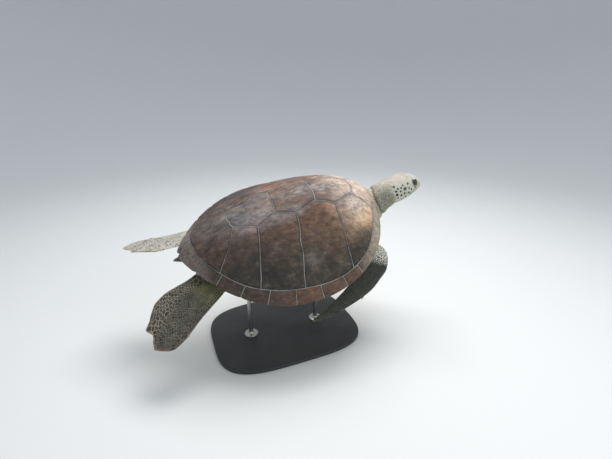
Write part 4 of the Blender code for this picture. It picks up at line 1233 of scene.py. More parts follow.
# ================================================================ skin: hind flippers
def hind_flipper(b, side, patch, body_tree):
    fn, place = paddle(side), HIND[side]
    rows = 1 - (1 - np.linspace(0, 1, 350 if side < 0 else 250)) ** 1.15
    a, p, arc, total = even(fn, rows, 330 if side < 0 else 230, 0.2)
    normal = grid_normals(p)
    p = flare(p, normal, body_tree, 0.035, 0.011)
    across = np.where(a <= math.pi, arc, arc - total[:, None])  # 0 on the outer edge, + on the upper face
    v = np.sign(np.cos(a)) * np.abs(np.cos(a)) ** 0.85
    along = rows[:, None] * place["length"] * hind_reach(v, rows[:, None], place["trim"])
    # scales lengthen towards the toes: a stretched coordinate keeps them round in it
    stretch = np.linspace(0, 0.47, 200)
    run = np.r_[0, np.cumsum((stretch[1] - stretch[0]) / (1 + 0.60 * step(0.16, 0.36, stretch[1:])))]
    even_along = np.interp(along, stretch, run)
    lean = 0.10 * step(0.16, 0.42, along) * v  # rows fan out over the toes

    def size(u, w):
        d = abs(w)
        h = 4.9
        if d < 0.034:
            h = 10.5 - 5.6 * d / 0.034
        if u > 0.17:
            h *= 1.0 + 0.30 * min((u - 0.17) / 0.10, 1)
        if w > 0.125:
            h *= 1.45
        return h * MM

    seeds = seed_rows(0.46, 0.27, size, 41 + side)
    # one great scale on the upper face near the tail, as the species has
    great = np.array([0.105, 0.138])
    seeds = seeds[np.hypot(*(seeds - great).T) > 0.030]
    ring = [great] + [great + 0.036 * np.array([math.cos(t), math.sin(t)]) for t in np.linspace(0, 2 * math.pi, 9)[:-1]]
    seeds = np.concatenate([seeds[np.hypot(*(seeds - great).T) > 0.046], ring])
    cell, far, border = cells(np.stack([even_along.ravel(), (across * (1 + lean)).ravel()], 1), seeds)
    border, far = border.reshape(a.shape) / MM, far.reshape(a.shape) / MM
    pick = scatter(len(seeds), 87, 3)[cell].reshape(*a.shape, 3)
    body = p.reshape(-1, 3)
    wander = noise(body, 0.045, 7).reshape(a.shape)
    cloud = noise(body, 0.020, 9).reshape(a.shape)
    upper = step(-0.008, 0.006, np.sin(a) * 0.02 + 0.004 * wander)
    base = step(0.25, 0.12, along + 0.03 * wander)
    deep = step(0.085, 0.030, along + 0.012 * wander)
    # painted light: the far hind flipper gets pale scales and a wider, near-white net, standing for sheen on its upper
    # face
    far_painted_light = 1.0 if side > 0 else 0.0
    dark = mix(lin(40, 42, 40)[None, None], lin(80, 75, 64)[None, None], np.clip(0.5 + 0.5 * pick[..., 0] + 0.45 * cloud, 0, 1))
    dark = mix(dark, lin(104, 97, 84)[None, None], 0.45 * step(0.35, 0.8, pick[..., 1]) * (1 - base))
    dark = mix(dark, lin(66, 68, 46)[None, None], 0.6 * base)
    dark = mix(dark, mix(lin(120, 116, 108)[None, None], lin(196, 190, 180)[None, None], 0.5 + 0.5 * pick[..., 1]), far_painted_light * 0.80 * step(-0.75, -0.2, pick[..., 0]) * np.ones(a.shape))
    net = mix(lin(150, 147, 133)[None, None], lin(172, 168, 116)[None, None], 0.85 * base)
    net = mix(net, lin(100, 98, 88)[None, None], 0.8 * step(0.0, 0.6, cloud + 0.4 * wander) * (1 - base))
    # near the shell the net turns dark olive: partly the skin's own colour, partly painted shade from the shell
    net = mix(net, lin(96, 98, 66)[None, None], 0.85 * deep)
    net = mix(net, lin(176, 170, 154)[None, None], 0.7 * step(0.110, 0.150, across) * (1 - deep))
    net = mix(net, lin(222, 218, 210)[None, None], np.full(a.shape, far_painted_light * 0.9))
    thin = 0.40 + 0.16 * base + 0.22 * cloud + 0.20 * step(0.11, 0.15, across) + far_painted_light * 0.35
    edge = border - np.maximum(thin, 0.12)
    lower = mix(SKIN_CREAM[None, None], lin(210, 196, 150)[None, None], 0.5 + 0.5 * wander)
    blotch = step(0.20, 0.36, along + 0.04 * wander)
    pale_net = mix(lower, lin(184, 174, 144)[None, None], np.full(a.shape, 0.5))
    lower = mix(lower, lin(104, 98, 86)[None, None], 0.7 * blotch)
    colour = mix(lower, dark, upper)
    net = mix(pale_net, net, upper)
    rim_band = np.maximum(step(0.975, 1.0, rows)[:, None] * np.ones_like(a), step(0.975, 1.0, np.abs(v)) * step(0.22, 0.45, rows)[:, None])
    colour = mix(colour, lin(170, 134, 112)[None, None], 0.60 * rim_band)
    net = mix(net, lin(196, 158, 136)[None, None], 0.60 * rim_band)
    colour = colour * (1 + 0.10 * pick[..., 2:3])
    height = scale_relief(border, 1.8, 0.50) * step(1.0, 0.93, rows)[:, None]
    # faint ribs of the toes under the skin
    toes = np.cos(v * math.pi * 3.1 + 0.5) * step(0.25, 0.5, rows)[:, None] * step(1.0, 0.9, rows)[:, None]
    height = height + 0.9 * toes
    fold = np.sin(rows[:, None] * 75 + 2.2 * wander)
    height -= 1.2 * step(0.5, 1.0, fold) * step(0.24, 0.10, rows)[:, None]
    p = p + normal * (height * MM)[..., None]
    p = under_shell(p)
    p[..., 1] *= side
    b.grid(p, patch, {"tint": colour, "net": net, "edge": edge, "crease": border}, start="strip", end="strip")


# ================================================================ skin: head and neck
EYE_AT, EYE_R = np.array([0.0380, 0.0405, 0.0150]), 0.0195 / 1.05
EYE_AXIS = unit(np.array([0.36, 0.90, 0.24]))
MOUTH = np.array([(-0.006, -0.0185), (0.010, -0.0135), (0.030, -0.0135), (0.055, -0.0180), (0.085, -0.0235), (0.120, -0.0290)])
HM = MM / 1.05  # one millimetre in the head's own units

# cheek scales with round dark spots: (x, z, spot radius in mm)
CHEEK = [
    (-0.0108, 0.0350, 4.6), (-0.0396, 0.0383, 3.2), (-0.0325, 0.0190, 5.2), (-0.0521, 0.0302, 3.4),
    (-0.0688, 0.0300, 3.4), (-0.0800, 0.0200, 3.6), (-0.0825, 0.0420, 3.9), (-0.0780, 0.0040, 5.6),
    (-0.0593, 0.0145, 3.4), (-0.0586, -0.0055, 4.0), (-0.0335, -0.0220, 3.6), (0.0030, 0.0010, 3.4),
    (-0.0204, 0.0490, 2.6), (-0.0406, -0.0020, 3.4), (-0.0165, -0.0070, 3.6),
    (-0.0110, 0.0130, 2.8), (0.0340, -0.0040, 3.2), (0.0700, 0.0140, 0.0),
    (-0.0560, -0.0270, 2.6), (-0.0130, -0.0290, 2.6), (0.0120, -0.0280, 2.3), (0.0320, -0.0290, 1.9),
    (0.0100, 0.0260, 0.0), (-0.0760, -0.0140, 3.0),
]  # fmt: skip
# shields of the crown: (x, y); the pairs have y > 0
CROWN = [(0.0750, 0.0105), (0.0530, 0.0), (0.0370, 0.0270), (0.0110, 0.0), (0.0060, 0.0370),
         (-0.0330, 0.0220), (-0.0480, 0.0450), (-0.0700, 0.0), (-0.0720, 0.0260), (-0.0950, 0.0130), (-0.0980, 0.0400)]  # fmt: skip


def mouth_z(x):
    return np.interp(x, MOUTH[:, 0], MOUTH[:, 1])


def eye_frame(side):
    w = EYE_AXIS * np.array([1, side, 1])
    ahead = unit(np.array([1.0, 0, 0]) - w * w[0])
    up = np.cross(ahead, w) * -side
    if up[2] < 0:
        up = -up
    return EYE_AT * np.array([1, side, 1]), w, ahead, up


def lids(local):
    """Skin drawn over the eyeball, open in an almond; returns points, a weight of painted shade near a lid's edge and
    round the eye, and where the skin meets the eyeball.
    """
    edge = np.zeros(local.shape[:2])
    inside = np.zeros(local.shape[:2])
    for side in (1, -1):
        at, w, ahead, up = eye_frame(side)
        d = local - at
        dist = np.linalg.norm(d, axis=-1)
        way = d / dist[..., None]
        a, c, out = way @ ahead, way @ up, way @ w
        slope = math.radians(-20)
        a, c = a * math.cos(slope) + c * math.sin(slope), c * math.cos(slope) - a * math.sin(slope)
        tall = np.where(c > 0, 0.56, 0.60)
        long = np.where(a > 0, 0.80, 0.84)
        shape = (np.abs(a) / long) ** 1.6 + (np.abs(c) / tall) ** 1.9
        shape = np.where(out > 0.10, shape, 9.0)
        rim_near = np.sqrt(shape) - 1
        close = step(1.85, 1.12, dist / EYE_R)
        pull = np.exp(-((np.maximum(rim_near, 0) / 0.40) ** 2)) * (shape < 6) * close
        lid = EYE_R + (0.9 + 1.0 * bell(rim_near, 0.20, 0.15)) * HM
        # a crease between the lid and the brow
        lid = lid - 0.5 * HM * bell(rim_near, 0.52, 0.10)
        target = EYE_R * 0.80 + (lid - EYE_R * 0.80) * step(-0.34, 0.04, rim_near)
        new = dist * (1 - pull) + target * pull
        new = np.where((rim_near < 0) & (close > 0), target, new)
        new = np.where(shape < 6, new, dist)
        new = np.where((rim_near > 0.04) & (close > 0), np.maximum(new, EYE_R + 0.9 * HM), new)
        local = np.where((close > 0)[..., None], at + way * new[..., None], local)
        # painted shade round the eye: a dark patch behind it, and darkening that grows towards the lid's edge
        flat_a, flat_c = a * dist / EYE_R, c * dist / EYE_R
        behind = 0.45 * bell(np.hypot((flat_a + 1.12) / 0.42, (flat_c + 0.02) / 0.26), 0, 1)
        dim = step(0.62, 0.10, rim_near) + behind * (rim_near > 0)
        edge = np.maximum(edge, np.clip(dim, 0, 1) * (shape < 6) * step(1.80, 1.30, dist / EYE_R))
        # where the lids meet the eyeball; painted near black as shade in head_and_neck
        inside = np.maximum(inside, step(0.10, -0.14, rim_near) * (shape < 6) * (close > 0))
    return local, np.clip(edge, 0, 1), inside


def head_grid():
    """Head and neck as one tube, with the head's own coordinates of each point."""
    rows, s = even_rows(neck_and_head, 0.75, 4.2 + 1.2 / 1.83 * 9, 400)
    tip = 4.2 + 1.2 / 1.83 * (9 + np.sin(np.linspace(0, math.pi / 2, 16)[1:] * 0.985))
    rows = np.r_[rows, tip]
    s = np.r_[s, s[-1] + np.linspace(0.0006, 0.012, 15)]
    a, p, arc, total = even(neck_and_head, rows, 352, 0.15)
    return rows, s, a, p


def head_and_neck(b, patch, body_tree):
    rows, s, a, p = head_grid()
    shape = a.shape
    q = np.repeat(rows[:, None], shape[1], 1)
    normal = grid_normals(p)
    p = flare(p, normal, body_tree, 0.030, 0.009)
    flat = p.reshape(-1, 3)
    local = moved(HEAD_INV, flat).reshape(*shape, 3)
    x, y, z = local[..., 0], local[..., 1], local[..., 2]
    on_head = step(4.25, 4.75, q)
    side = np.where(y >= 0, 1, -1)

    # ---- large forms of the head, along the normal, in mm
    h = np.zeros(shape)
    brow = bell(x, 0.034, 0.022) * bell(z, 0.038, 0.011) * step(0.018, 0.034, np.abs(y))
    h += 1.7 * brow
    h += 1.0 * bell(x, 0.062, 0.020) * bell(z, 0.012, 0.012) * step(0.016, 0.03, np.abs(y)) * -1  # hollow before the eye
    h += 1.5 * bell(x, -0.022, 0.034) * bell(z, -0.020, 0.016)  # jaw muscle
    h -= 0.9 * bell(y, 0, 0.008) * bell(x, 0.070, 0.020) * step(0, 0.02, z)
    mz = mouth_z(x)
    reach = step(-0.009, -0.003, x)
    gap = z - mz
    h -= 2.4 * bell(gap, 0, 1.25 * HM) * reach
    h += 0.8 * bell(gap, 3.2 * HM, 2.6 * HM) * reach
    h -= 0.5 * step(-1.0 * HM, -6 * HM, gap) * reach * step(-0.004, 0.02, x) * step(-0.045, -0.03, z)
    corner = np.hypot(x + 0.006, z + 0.0185)
    h -= 1.2 * bell(corner, 0, 0.0040)
    for ny in (0.0072, -0.0072):
        hole = np.sqrt((x - 0.0955) ** 2 + (y - ny) ** 2 + (z + 0.0035) ** 2)
        h -= 2.6 * bell(hole, 0, 0.0022)
        h += 0.5 * bell(hole, 0.0050, 0.0018)

    # ---- folds of the neck: a deep one beside the shell, lighter ones before it
    up = np.sin(a)
    line = 3.35 + np.where(up > 0, 0.62, 0.35) * up
    wander = 0.10 * noise(flat, 0.05, 61).reshape(shape)
    d = q - line + wander
    on_neck = 1 - step(4.5, 5.1, q)
    h += on_neck * (1.6 * bell(d, -0.42, 0.30) - 4.6 * bell(d, 0, 0.085) + 0.6 * bell(d, 0.22, 0.16))
    h -= on_neck * 3.0 * step(0.1, 0.9, -up) * bell(d, 0.55, 0.55)
    for at, deep in ((-0.80, 2.8), (-1.25, 3.0), (0.52, 1.0), (0.86, 0.9), (1.16, 0.7)):
        broken = step(-0.55, 0.15, noise(flat, 0.07, int(90 + at * 10)).reshape(shape))
        h -= on_neck * deep * bell(d + 0.05 * noise(flat, 0.03, 62).reshape(shape), at, 0.055) * broken
    throat = step(0.1, 0.8, -up)
    for k in range(6):
        h -= on_head * throat * 1.1 * bell(x + 0.004 * noise(flat, 0.04, 63).reshape(shape), -0.050 - 0.014 * k, 0.0022) * step(0.0, -0.03, x)
    p = p + normal * (h * MM)[..., None]

    # ---- scales
    flat = p.reshape(-1, 3)
    local = moved(HEAD_INV, flat).reshape(*shape, 3)
    skull = (q > 4.75) & (local[..., 0] > -0.100)
    head_pts = local.reshape(-1, 3)
    pool = head_pts[skull.ravel()]
    pool_tree = tree_of(pool)
    marks = []  # head-frame point, spot radius (0 on the crown), kind
    for cx, cz, rad in CHEEK:
        for sd in (1, -1):
            guess = (cx, sd * 0.075, cz)
            near = pool[pool_tree.find((cx, sd * (0.075 if cx < 0.03 else 0.055), cz))[1]]
            for _ in range(3):
                near = pool[pool_tree.find((cx, near[1], cz))[1]]
            marks.append((*near, rad, 1))
    for cx, cy in CROWN:
        for sd in ((1, -1) if cy > 0 else (1,)):
            near = pool[pool_tree.find((cx, sd * cy, 0.058))[1]]
            for _ in range(3):
                near = pool[pool_tree.find((cx, sd * cy, near[2]))[1]]
            marks.append((*near, 0.0, 0))
    marks = np.array(marks)
    # small scales elsewhere: throat, nape and neck
    size = np.full(len(flat), 5.4 * MM)
    size = np.where(q.ravel() > 4.7, 6.6 * MM, size)
    size = np.where((q.ravel() < 3.0), 6.8 * MM, size)
    # strewn points are drawn from every third vertex, to be quick
    pick_from = (np.arange(len(flat)) % 3 == 0) & (q.ravel() > 1.2)
    strewn = seed_surface(flat[pick_from], size[pick_from], 71)
    local_strewn = moved(HEAD_INV, strewn)
    mark_tree = tree_of(marks[:, :3])
    near = np.array([mark_tree.find(c)[2] for c in local_strewn.tolist()])
    top_of_head = (local_strewn[:, 2] > 0.046) & (local_strewn[:, 0] > -0.088)
    snout = (local_strewn[:, 2] > 0.012) & (local_strewn[:, 0] > 0.050)
    strewn = strewn[(near > 0.0105) & ~top_of_head & ~snout]
    seeds = np.concatenate([moved(HEAD, marks[:, :3]), strewn])
    kind = np.r_[marks[:, 4], np.full(len(strewn), 2)]
    spot = np.r_[marks[:, 3], np.full(len(strewn), 0.0)]
    cell, far, border = cells(flat, seeds)
    border, far = (border / MM).reshape(shape), (far / MM).reshape(shape)
    kind, spot = kind[cell].reshape(shape), spot[cell].reshape(shape)
    pick = scatter(len(seeds), 97, 3)[cell].reshape(*shape, 3)

    x, y, z = local[..., 0], local[..., 1], local[..., 2]
    # lid: weight of painted shade round the eye; socket: where the skin meets the eyeball, painted near black as shade
    local, lid, socket = lids(local)
    calm = 1 - np.clip(lid * 1.3 + socket, 0, 1)
    relief = np.where(kind == 2, scale_relief(border, 1.7, 0.42), scale_relief(border, 1.9, 0.50)) * calm
    beak_cover = step(0.048, 0.070, x) * step(0.012, -0.004, z - 0.62 * (x - 0.091) - 0.006)
    relief = relief * (1 - beak_cover)
    p = moved(HEAD, local.reshape(-1, 3)).reshape(*shape, 3) + normal * (relief * MM)[..., None]

    # ---- colours
    wobble = noise(flat, 0.010, 64).reshape(shape)
    broad = noise(flat, 0.05, 65).reshape(shape)
    cream = mix(lin(216, 216, 204)[None, None], lin(192, 196, 178)[None, None], 0.5 + 0.5 * broad)
    crown = step(0.030, 0.052, z) * on_head
    ground = mix(cream, lin(186, 180, 174)[None, None], 0.85 * crown)
    dark = mix(lin(44, 54, 46)[None, None], lin(70, 72, 56)[None, None], 0.5 + 0.5 * pick[..., 0])
    # a spot is partly round and partly follows the outline of its scale
    inmost = np.zeros(len(seeds))
    np.maximum.at(inmost, cell, border.ravel())
    inmost = inmost[cell].reshape(shape)
    outline = border - np.maximum(inmost - spot * 1.30, 0.6)
    spot_edge = 0.74 * (spot * 1.12 - far * (1 + 0.15 * wobble)) + 0.26 * outline
    spot_edge = np.minimum(spot_edge, border - 0.7) - 0.25 * noise(flat, 0.0045, 67).reshape(shape)
    spot_edge = np.where(spot > 0, spot_edge, -3.0)
    halo = step(spot + 3.0, spot + 0.6, far)
    net = mix(ground, lin(226, 228, 218)[None, None], 0.5 * halo * (kind == 1))
    tan = mix(lin(178, 160, 148)[None, None], lin(152, 136, 122)[None, None], 0.5 + 0.5 * pick[..., 1])
    tan = mix(ground, tan, np.clip(0.42 + 0.42 * noise(flat, 0.006, 66).reshape(shape), 0, 1))
    small = mix(lin(160, 158, 138)[None, None], lin(208, 202, 180)[None, None], 0.5 + 0.5 * pick[..., 2])
    colour = np.where((kind == 1)[..., None], dark, np.where((kind == 0)[..., None], tan, small))
    edge = np.where(kind == 1, spot_edge, np.where(kind == 0, border - 2.6 - 0.8 * wobble, border - 1.3 - 0.5 * pick[..., 1]))
    edge = np.where((kind == 2) & (z > 0.0), -2.0 + border * 0.2, edge)
    # neck: pale scales in a dark net above, darker and greener at the sides, cream below
    side_on = step(-0.80, -0.25, up)
    grey = mix(lin(176, 176, 164)[None, None], lin(154, 157, 136)[None, None], step(0.55, -0.35, up + 0.2 * broad))
    grey = grey * (1 + 0.16 * pick[..., 0:1])
    yellow = bell(q, 4.76, 0.22) * bell(up, -0.02, 0.42)
    grey = mix(grey, lin(196, 190, 128)[None, None], 0.75 * yellow)
    grey = mix(grey, lin(214, 204, 190)[None, None], 0.55 * step(0.62, 0.95, up))
    dark_net = mix(lin(92, 98, 90)[None, None], lin(74, 78, 60)[None, None], step(0.4, -0.3, up))
    dark_net = mix(dark_net, lin(150, 142, 126)[None, None], 0.5 * step(0.72, 0.98, up))
    cream_side = lin(214, 204, 172)[None, None]
    neck_centre = mix(cream_side, grey, side_on)
    neck_net = mix(cream_side * 0.82, dark_net, side_on)
    collar = step(0.10, -0.25, d) * on_neck
    neck_centre = mix(neck_centre, lin(212, 200, 180)[None, None], 0.75 * collar)
    neck_net = mix(neck_net, lin(172, 162, 142)[None, None], 0.80 * collar)
    neck_edge = border - 0.62 - 0.35 * wobble
    is_neck = 1 - step(4.62, 4.90, q + 0.12 * wobble + 0.05 * pick[..., 1])
    colour = mix(colour, neck_centre, is_neck)
    net = mix(net, neck_net, is_neck)
    edge = np.where(is_neck > 0.5, neck_edge, edge)
    # painted shade in the neck's deep fold, along the mouth line and at its corner, round the lids and behind the eye,
    # and near black where the lids meet the eyeball; last, the pale skin under the beak
    shade = [
        (lin(92, 86, 70), 0.55 * on_neck * bell(d, 0, 0.05)),
        (lin(40, 42, 34), 0.75 * bell(gap, 0, 1.0 * HM) * reach),
        (lin(36, 46, 42), 0.9 * bell(corner, 0, 0.0062)),
        (lin(44, 48, 42), 0.9 * np.clip(lid * 1.15, 0, 1)),
        (lin(20, 20, 18), np.clip(socket, 0, 1)),
        (lin(206, 200, 178), 0.7 * beak_cover),
    ]
    for tone, amount in shade:
        colour = mix(colour, tone[None, None], amount)
        net = mix(net, tone[None, None], amount)
    # the foot of the neck sinks into the chest and takes its colour
    foot = step(2.3, 0.95, q)
    colour = mix(colour, lin(206, 196, 164)[None, None], 0.85 * foot)
    net = mix(net, lin(184, 174, 142)[None, None], 0.90 * foot)
    p = p - normal * (15.0 * MM * step(1.9, 0.85, q))[..., None]
    p = np.where((q < 3.2)[..., None], under_shell(p), p)
    b.grid(p, patch, {"tint": np.clip(colour, 0, 1), "net": np.clip(net, 0, 1), "edge": edge, "crease": border}, start="fan", end="fan")
    return p, local, normal


def tail(b, patch, body_tree):
    t, s = even_rows(tail_ring, 0.6, 5.0, 110)
    a, p, arc, total = even(tail_ring, t, 96, 0.2)
    normal = grid_normals(p)
    p = flare(p, normal, body_tree, 0.02, 0.008)
    flat = p.reshape(-1, 3)
    seeds = seed_surface(flat, np.full(len(flat), 5.5 * MM), 81)
    cell, far, border = cells(flat, seeds)
    border = (border / MM).reshape(a.shape)
    pick = scatter(len(seeds), 83, 2)[cell].reshape(*a.shape, 2)
    upper = step(-0.5, 0.4, np.sin(a))
    dark = mix(lin(66, 62, 52)[None, None], lin(96, 90, 74)[None, None], 0.5 + 0.5 * pick[..., 0])
    colour = mix(SKIN_CREAM[None, None], dark, upper)
    net = mix(lin(190, 182, 158)[None, None], lin(150, 144, 124)[None, None], upper)
    p = p + normal * (scale_relief(border, 1.5, 0.4) * MM)[..., None]
    b.grid(p, patch, {"tint": colour, "net": net, "edge": border - 0.6, "crease": border}, start="fan", end="fan")


def skin():
    trunk = trunk_grid()
    body_tree = plain_tree(trunk[:, ::4])
    flat = trunk.reshape(-1, 3)
    shape = trunk.shape[:2]
    normal = grid_normals(trunk)
    b = Build()
    seeds = seed_surface(flat[: len(flat)][::2], np.full(len(flat[::2]), 9.0 * MM), 91)
    cell, far, border = cells(flat, seeds)
    border = (border / MM).reshape(shape)
    wander = noise(flat, 0.06, 92).reshape(shape)
    colour = mix(lin(214, 204, 172)[None, None], lin(190, 182, 144)[None, None], 0.5 + 0.5 * wander)
    net = mix(colour, lin(150, 140, 108)[None, None], np.full(shape, 0.35))
    height = scale_relief(border, 2.0, 0.5) + 1.6 * noise(flat, 0.035, 93).reshape(shape)
    live = np.zeros(shape[0])
    live[6:] = 1
    trunk = trunk + normal * (height * live[:, None] * MM)[..., None]
    b.grid(trunk, (0.535, 0.01, 0.455, 0.46), {"tint": colour, "net": net, "edge": border - 0.8, "crease": border}, start="fan", end="fan")
    head = head_and_neck(b, (0.01, 0.50, 0.47, 0.49), body_tree)
    front_flipper(b, -1, (0.50, 0.50, 0.165, 0.49), body_tree)
    front_flipper(b, 1, (0.685, 0.50, 0.165, 0.49), body_tree)
    hind_flipper(b, -1, (0.01, 0.10, 0.245, 0.38), body_tree)
    hind_flipper(b, 1, (0.27, 0.10, 0.245, 0.38), body_tree)
    tail(b, (0.87, 0.80, 0.12, 0.19), body_tree)
    obj = b.object("skin", skin_material())
    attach(obj, "root")
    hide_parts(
        "trunk", "neck", "head", "lower_jaw", "tail",
        "front_flipper_left", "front_flipper_right", "hind_flipper_left", "hind_flipper_right",
    )  # fmt: skip
    return head


HEAD_SKIN = skin()


# ================================================================ plastron
PLASTRON_HALF = [
    (0.392, 0.0), (0.386, 0.050), (0.362, 0.092), (0.310, 0.130), (0.250, 0.165),
    (0.205, 0.205), (0.178, 0.270), (0.168, 0.360), (0.10, 0.42), (-0.08, 0.42),
    (-0.145, 0.360), (-0.160, 0.270), (-0.192, 0.190), (-0.250, 0.150),
    (-0.320, 0.118), (-0.368, 0.075), (-0.384, 0.030), (-0.378, 0.0),
]  # fmt: skip


def plastron_seams():
    """Polylines in plan: the middle, five across, and the bridge's small plates."""

    def path(points, seed):
        k = np.linspace(0, len(points) - 1, 120)
        q = spline(np.array(points, float), k)
        w = noise(np.c_[k * 0.02 + seed, np.zeros(120), np.zeros(120)], 0.03, seed) * 0.0022
        return np.c_[q[:, 0] + w, q[:, 1] + w, np.zeros(120)]

    lines = [path([(0.40, 0.000), (0.20, 0.0015), (0.0, -0.001), (-0.20, 0.001), (-0.39, 0.0)], 3)]
    for side in (1, -1):
        for k, pts in enumerate((
            [(0.338, 0.0), (0.330, 0.045), (0.345, 0.080), (0.372, 0.098)],
            [(0.225, 0.0), (0.224, 0.060), (0.214, 0.120), (0.200, 0.225)],
            [(0.060, 0.0), (0.060, 0.090), (0.050, 0.180), (0.046, 0.292)],
            [(-0.105, 0.0), (-0.108, 0.080), (-0.122, 0.150), (-0.150, 0.262)],
            [(-0.232, 0.0), (-0.240, 0.050), (-0.262, 0.100), (-0.290, 0.140)],
            [(0.190, 0.270), (0.140, 0.284), (0.046, 0.292), (-0.060, 0.290), (-0.165, 0.270)],
            [(0.128, 0.285), (0.128, 0.330), (0.134, 0.380), (0.140, 0.430)],
            [(0.046, 0.292), (0.046, 0.340), (0.048, 0.380), (0.050, 0.430)],
            [(-0.052, 0.290), (-0.050, 0.330), (-0.052, 0.380), (-0.056, 0.430)],
        )):  # fmt: skip
            lines.append(path([(x, y * side) for x, y in pts], 10 + k + (side > 0) * 20))
    return lines


def plastron():
    half = spline(np.array(PLASTRON_HALF), np.linspace(0, len(PLASTRON_HALF) - 1, 200))
    outline = np.concatenate([half, half[-2:0:-1] * [1, -1]])
    angle = np.mod(np.arctan2(outline[:, 1], outline[:, 0]), 2 * math.pi)
    order = np.argsort(angle)
    theta = np.linspace(0, 2 * math.pi, 620, endpoint=False)
    reach = np.interp(theta, angle[order], np.hypot(*outline[order].T), period=2 * math.pi)
    th = np.linspace(0, 2 * math.pi, 720, endpoint=False)
    bx, by, _ = plan(th, 0.897)
    bowl_angle = np.mod(np.arctan2(by, bx), 2 * math.pi)
    order = np.argsort(bowl_angle)
    reach = np.minimum(reach, np.interp(theta, bowl_angle[order], np.hypot(bx, by)[order], period=2 * math.pi))
    across = np.stack([np.cos(theta), np.sin(theta)], -1)

    def face(inset, under, lift):
        """A ring inset mm from the edge, on the underside or the back, lifted by mm."""
        flat = across * (reach - inset * MM)[:, None]
        ta, r = polar_of(flat[:, 0], flat[:, 1])
        low = bowl(ta, r, 0.90, BELLY, 0.0215)[:, 2]
        high = bowl(ta, r, 0.86, BELLY + PLASTRON_THICK, 0.0215 + 2 * G)[:, 2]
        high = low + np.clip(high - low, 0.004, PLASTRON_THICK)
        return np.stack([flat[:, 0], flat[:, 1], (low if under else high) + lift * MM], -1)

    rings = []
    for s in np.r_[0.03, np.linspace(0.08, 0.97, 150) ** 0.85]:
        flat = across * (reach * s)[:, None]
        ta, r = polar_of(flat[:, 0], flat[:, 1])
        rings.append(np.stack([flat[:, 0], flat[:, 1], bowl(ta, r, 0.90, BELLY, 0.0215)[:, 2]], -1))
    for k in range(1, 7):
        t = k / 6 * math.pi / 2
        rings.append(face(2.4 * (1 - math.sin(t)), True, 2.4 * (1 - math.cos(t))))
    top = len(rings)
    rings.append(face(0.0, False, -0.8))
    rings.append(face(1.0, False, 0.0))
    for inset in (20, 60, 120, 170):
        rings.append(face(inset, False, 0.0))
    p = np.array(rings)
    shape = p.shape[:2]
    flat = p.reshape(-1, 3)
    plane = np.c_[flat[:, :2], np.zeros(len(flat))]
    seam = (line_distance(plane, plastron_seams()) / MM).reshape(shape)
    live = np.zeros(shape)
    live[: top - 1] = 1
    height = -0.9 * bell(seam, 0, 1.5) + 0.5 * noise(flat, 0.02, 201).reshape(shape) + 0.35 * np.sin(seam * 0.9) * step(26, 4, seam)
    normal = grid_normals(p)
    p = p + normal * (height * live * MM)[..., None]
    broad = noise(flat, 0.07, 202).reshape(shape)
    stain = np.clip(noise(flat, 0.025, 203).reshape(shape) + 0.35 * broad, 0, 1)
    colour = mix(lin(226, 208, 158)[None, None], lin(206, 178, 118)[None, None], 0.5 + 0.5 * broad)
    colour = mix(colour, lin(158, 150, 124)[None, None], 0.45 * stain)
    colour = mix(colour, lin(232, 222, 190)[None, None], 0.5 * step(10, 2, seam))
    b = Build()
    b.grid(p, (0.01, 0.01, 0.98, 0.98), {"tint": colour, "edge": seam - 1.35}, start="fan", end="fan")
    mat, n, shader = nodes_of("plastron_keratin")
    place = n.place()
    cloud = n.noise(place, 26.0, 5, 0.6, 0.5)
    fine = n.noise(n.vector("MULTIPLY", place, (1.0, 3.2, 1.0)), 130.0, 4, 0.6)
    tint = n.attribute("tint", "Color")
    tone = n.mix(n.ramp(cloud, 0.38, 0.68, 0.0, 0.35), tint, n.mix(1.0, tint, (0.70, 0.64, 0.50), "MULTIPLY"))
    tone = n.mix(n.ramp(fine, 0.35, 0.62, 0.28, 0.0), tone, n.mix(1.0, tone, (0.74, 0.68, 0.56), "MULTIPLY"))
    edge = n.math("ADD", n.attribute("edge", "Fac"), n.math("MULTIPLY", n.math("SUBTRACT", fine, 0.5), 0.8))
    tone = n.mix(n.ramp(edge, -0.7, 0.9), n.mix(0.80, tone, tuple(lin(142, 116, 76))), tone)
    n.put(shader.inputs["Base Color"], tone)
    n.put(shader.inputs["Roughness"], n.ramp(cloud, 0.3, 0.7, 0.34, 0.50))
    n.put(shader.inputs["Normal"], n.bump(fine, 0.30, 0.0006))
    obj = b.object("plastron_plate", mat)
    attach(obj, "root")
    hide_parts("plastron")


plastron()


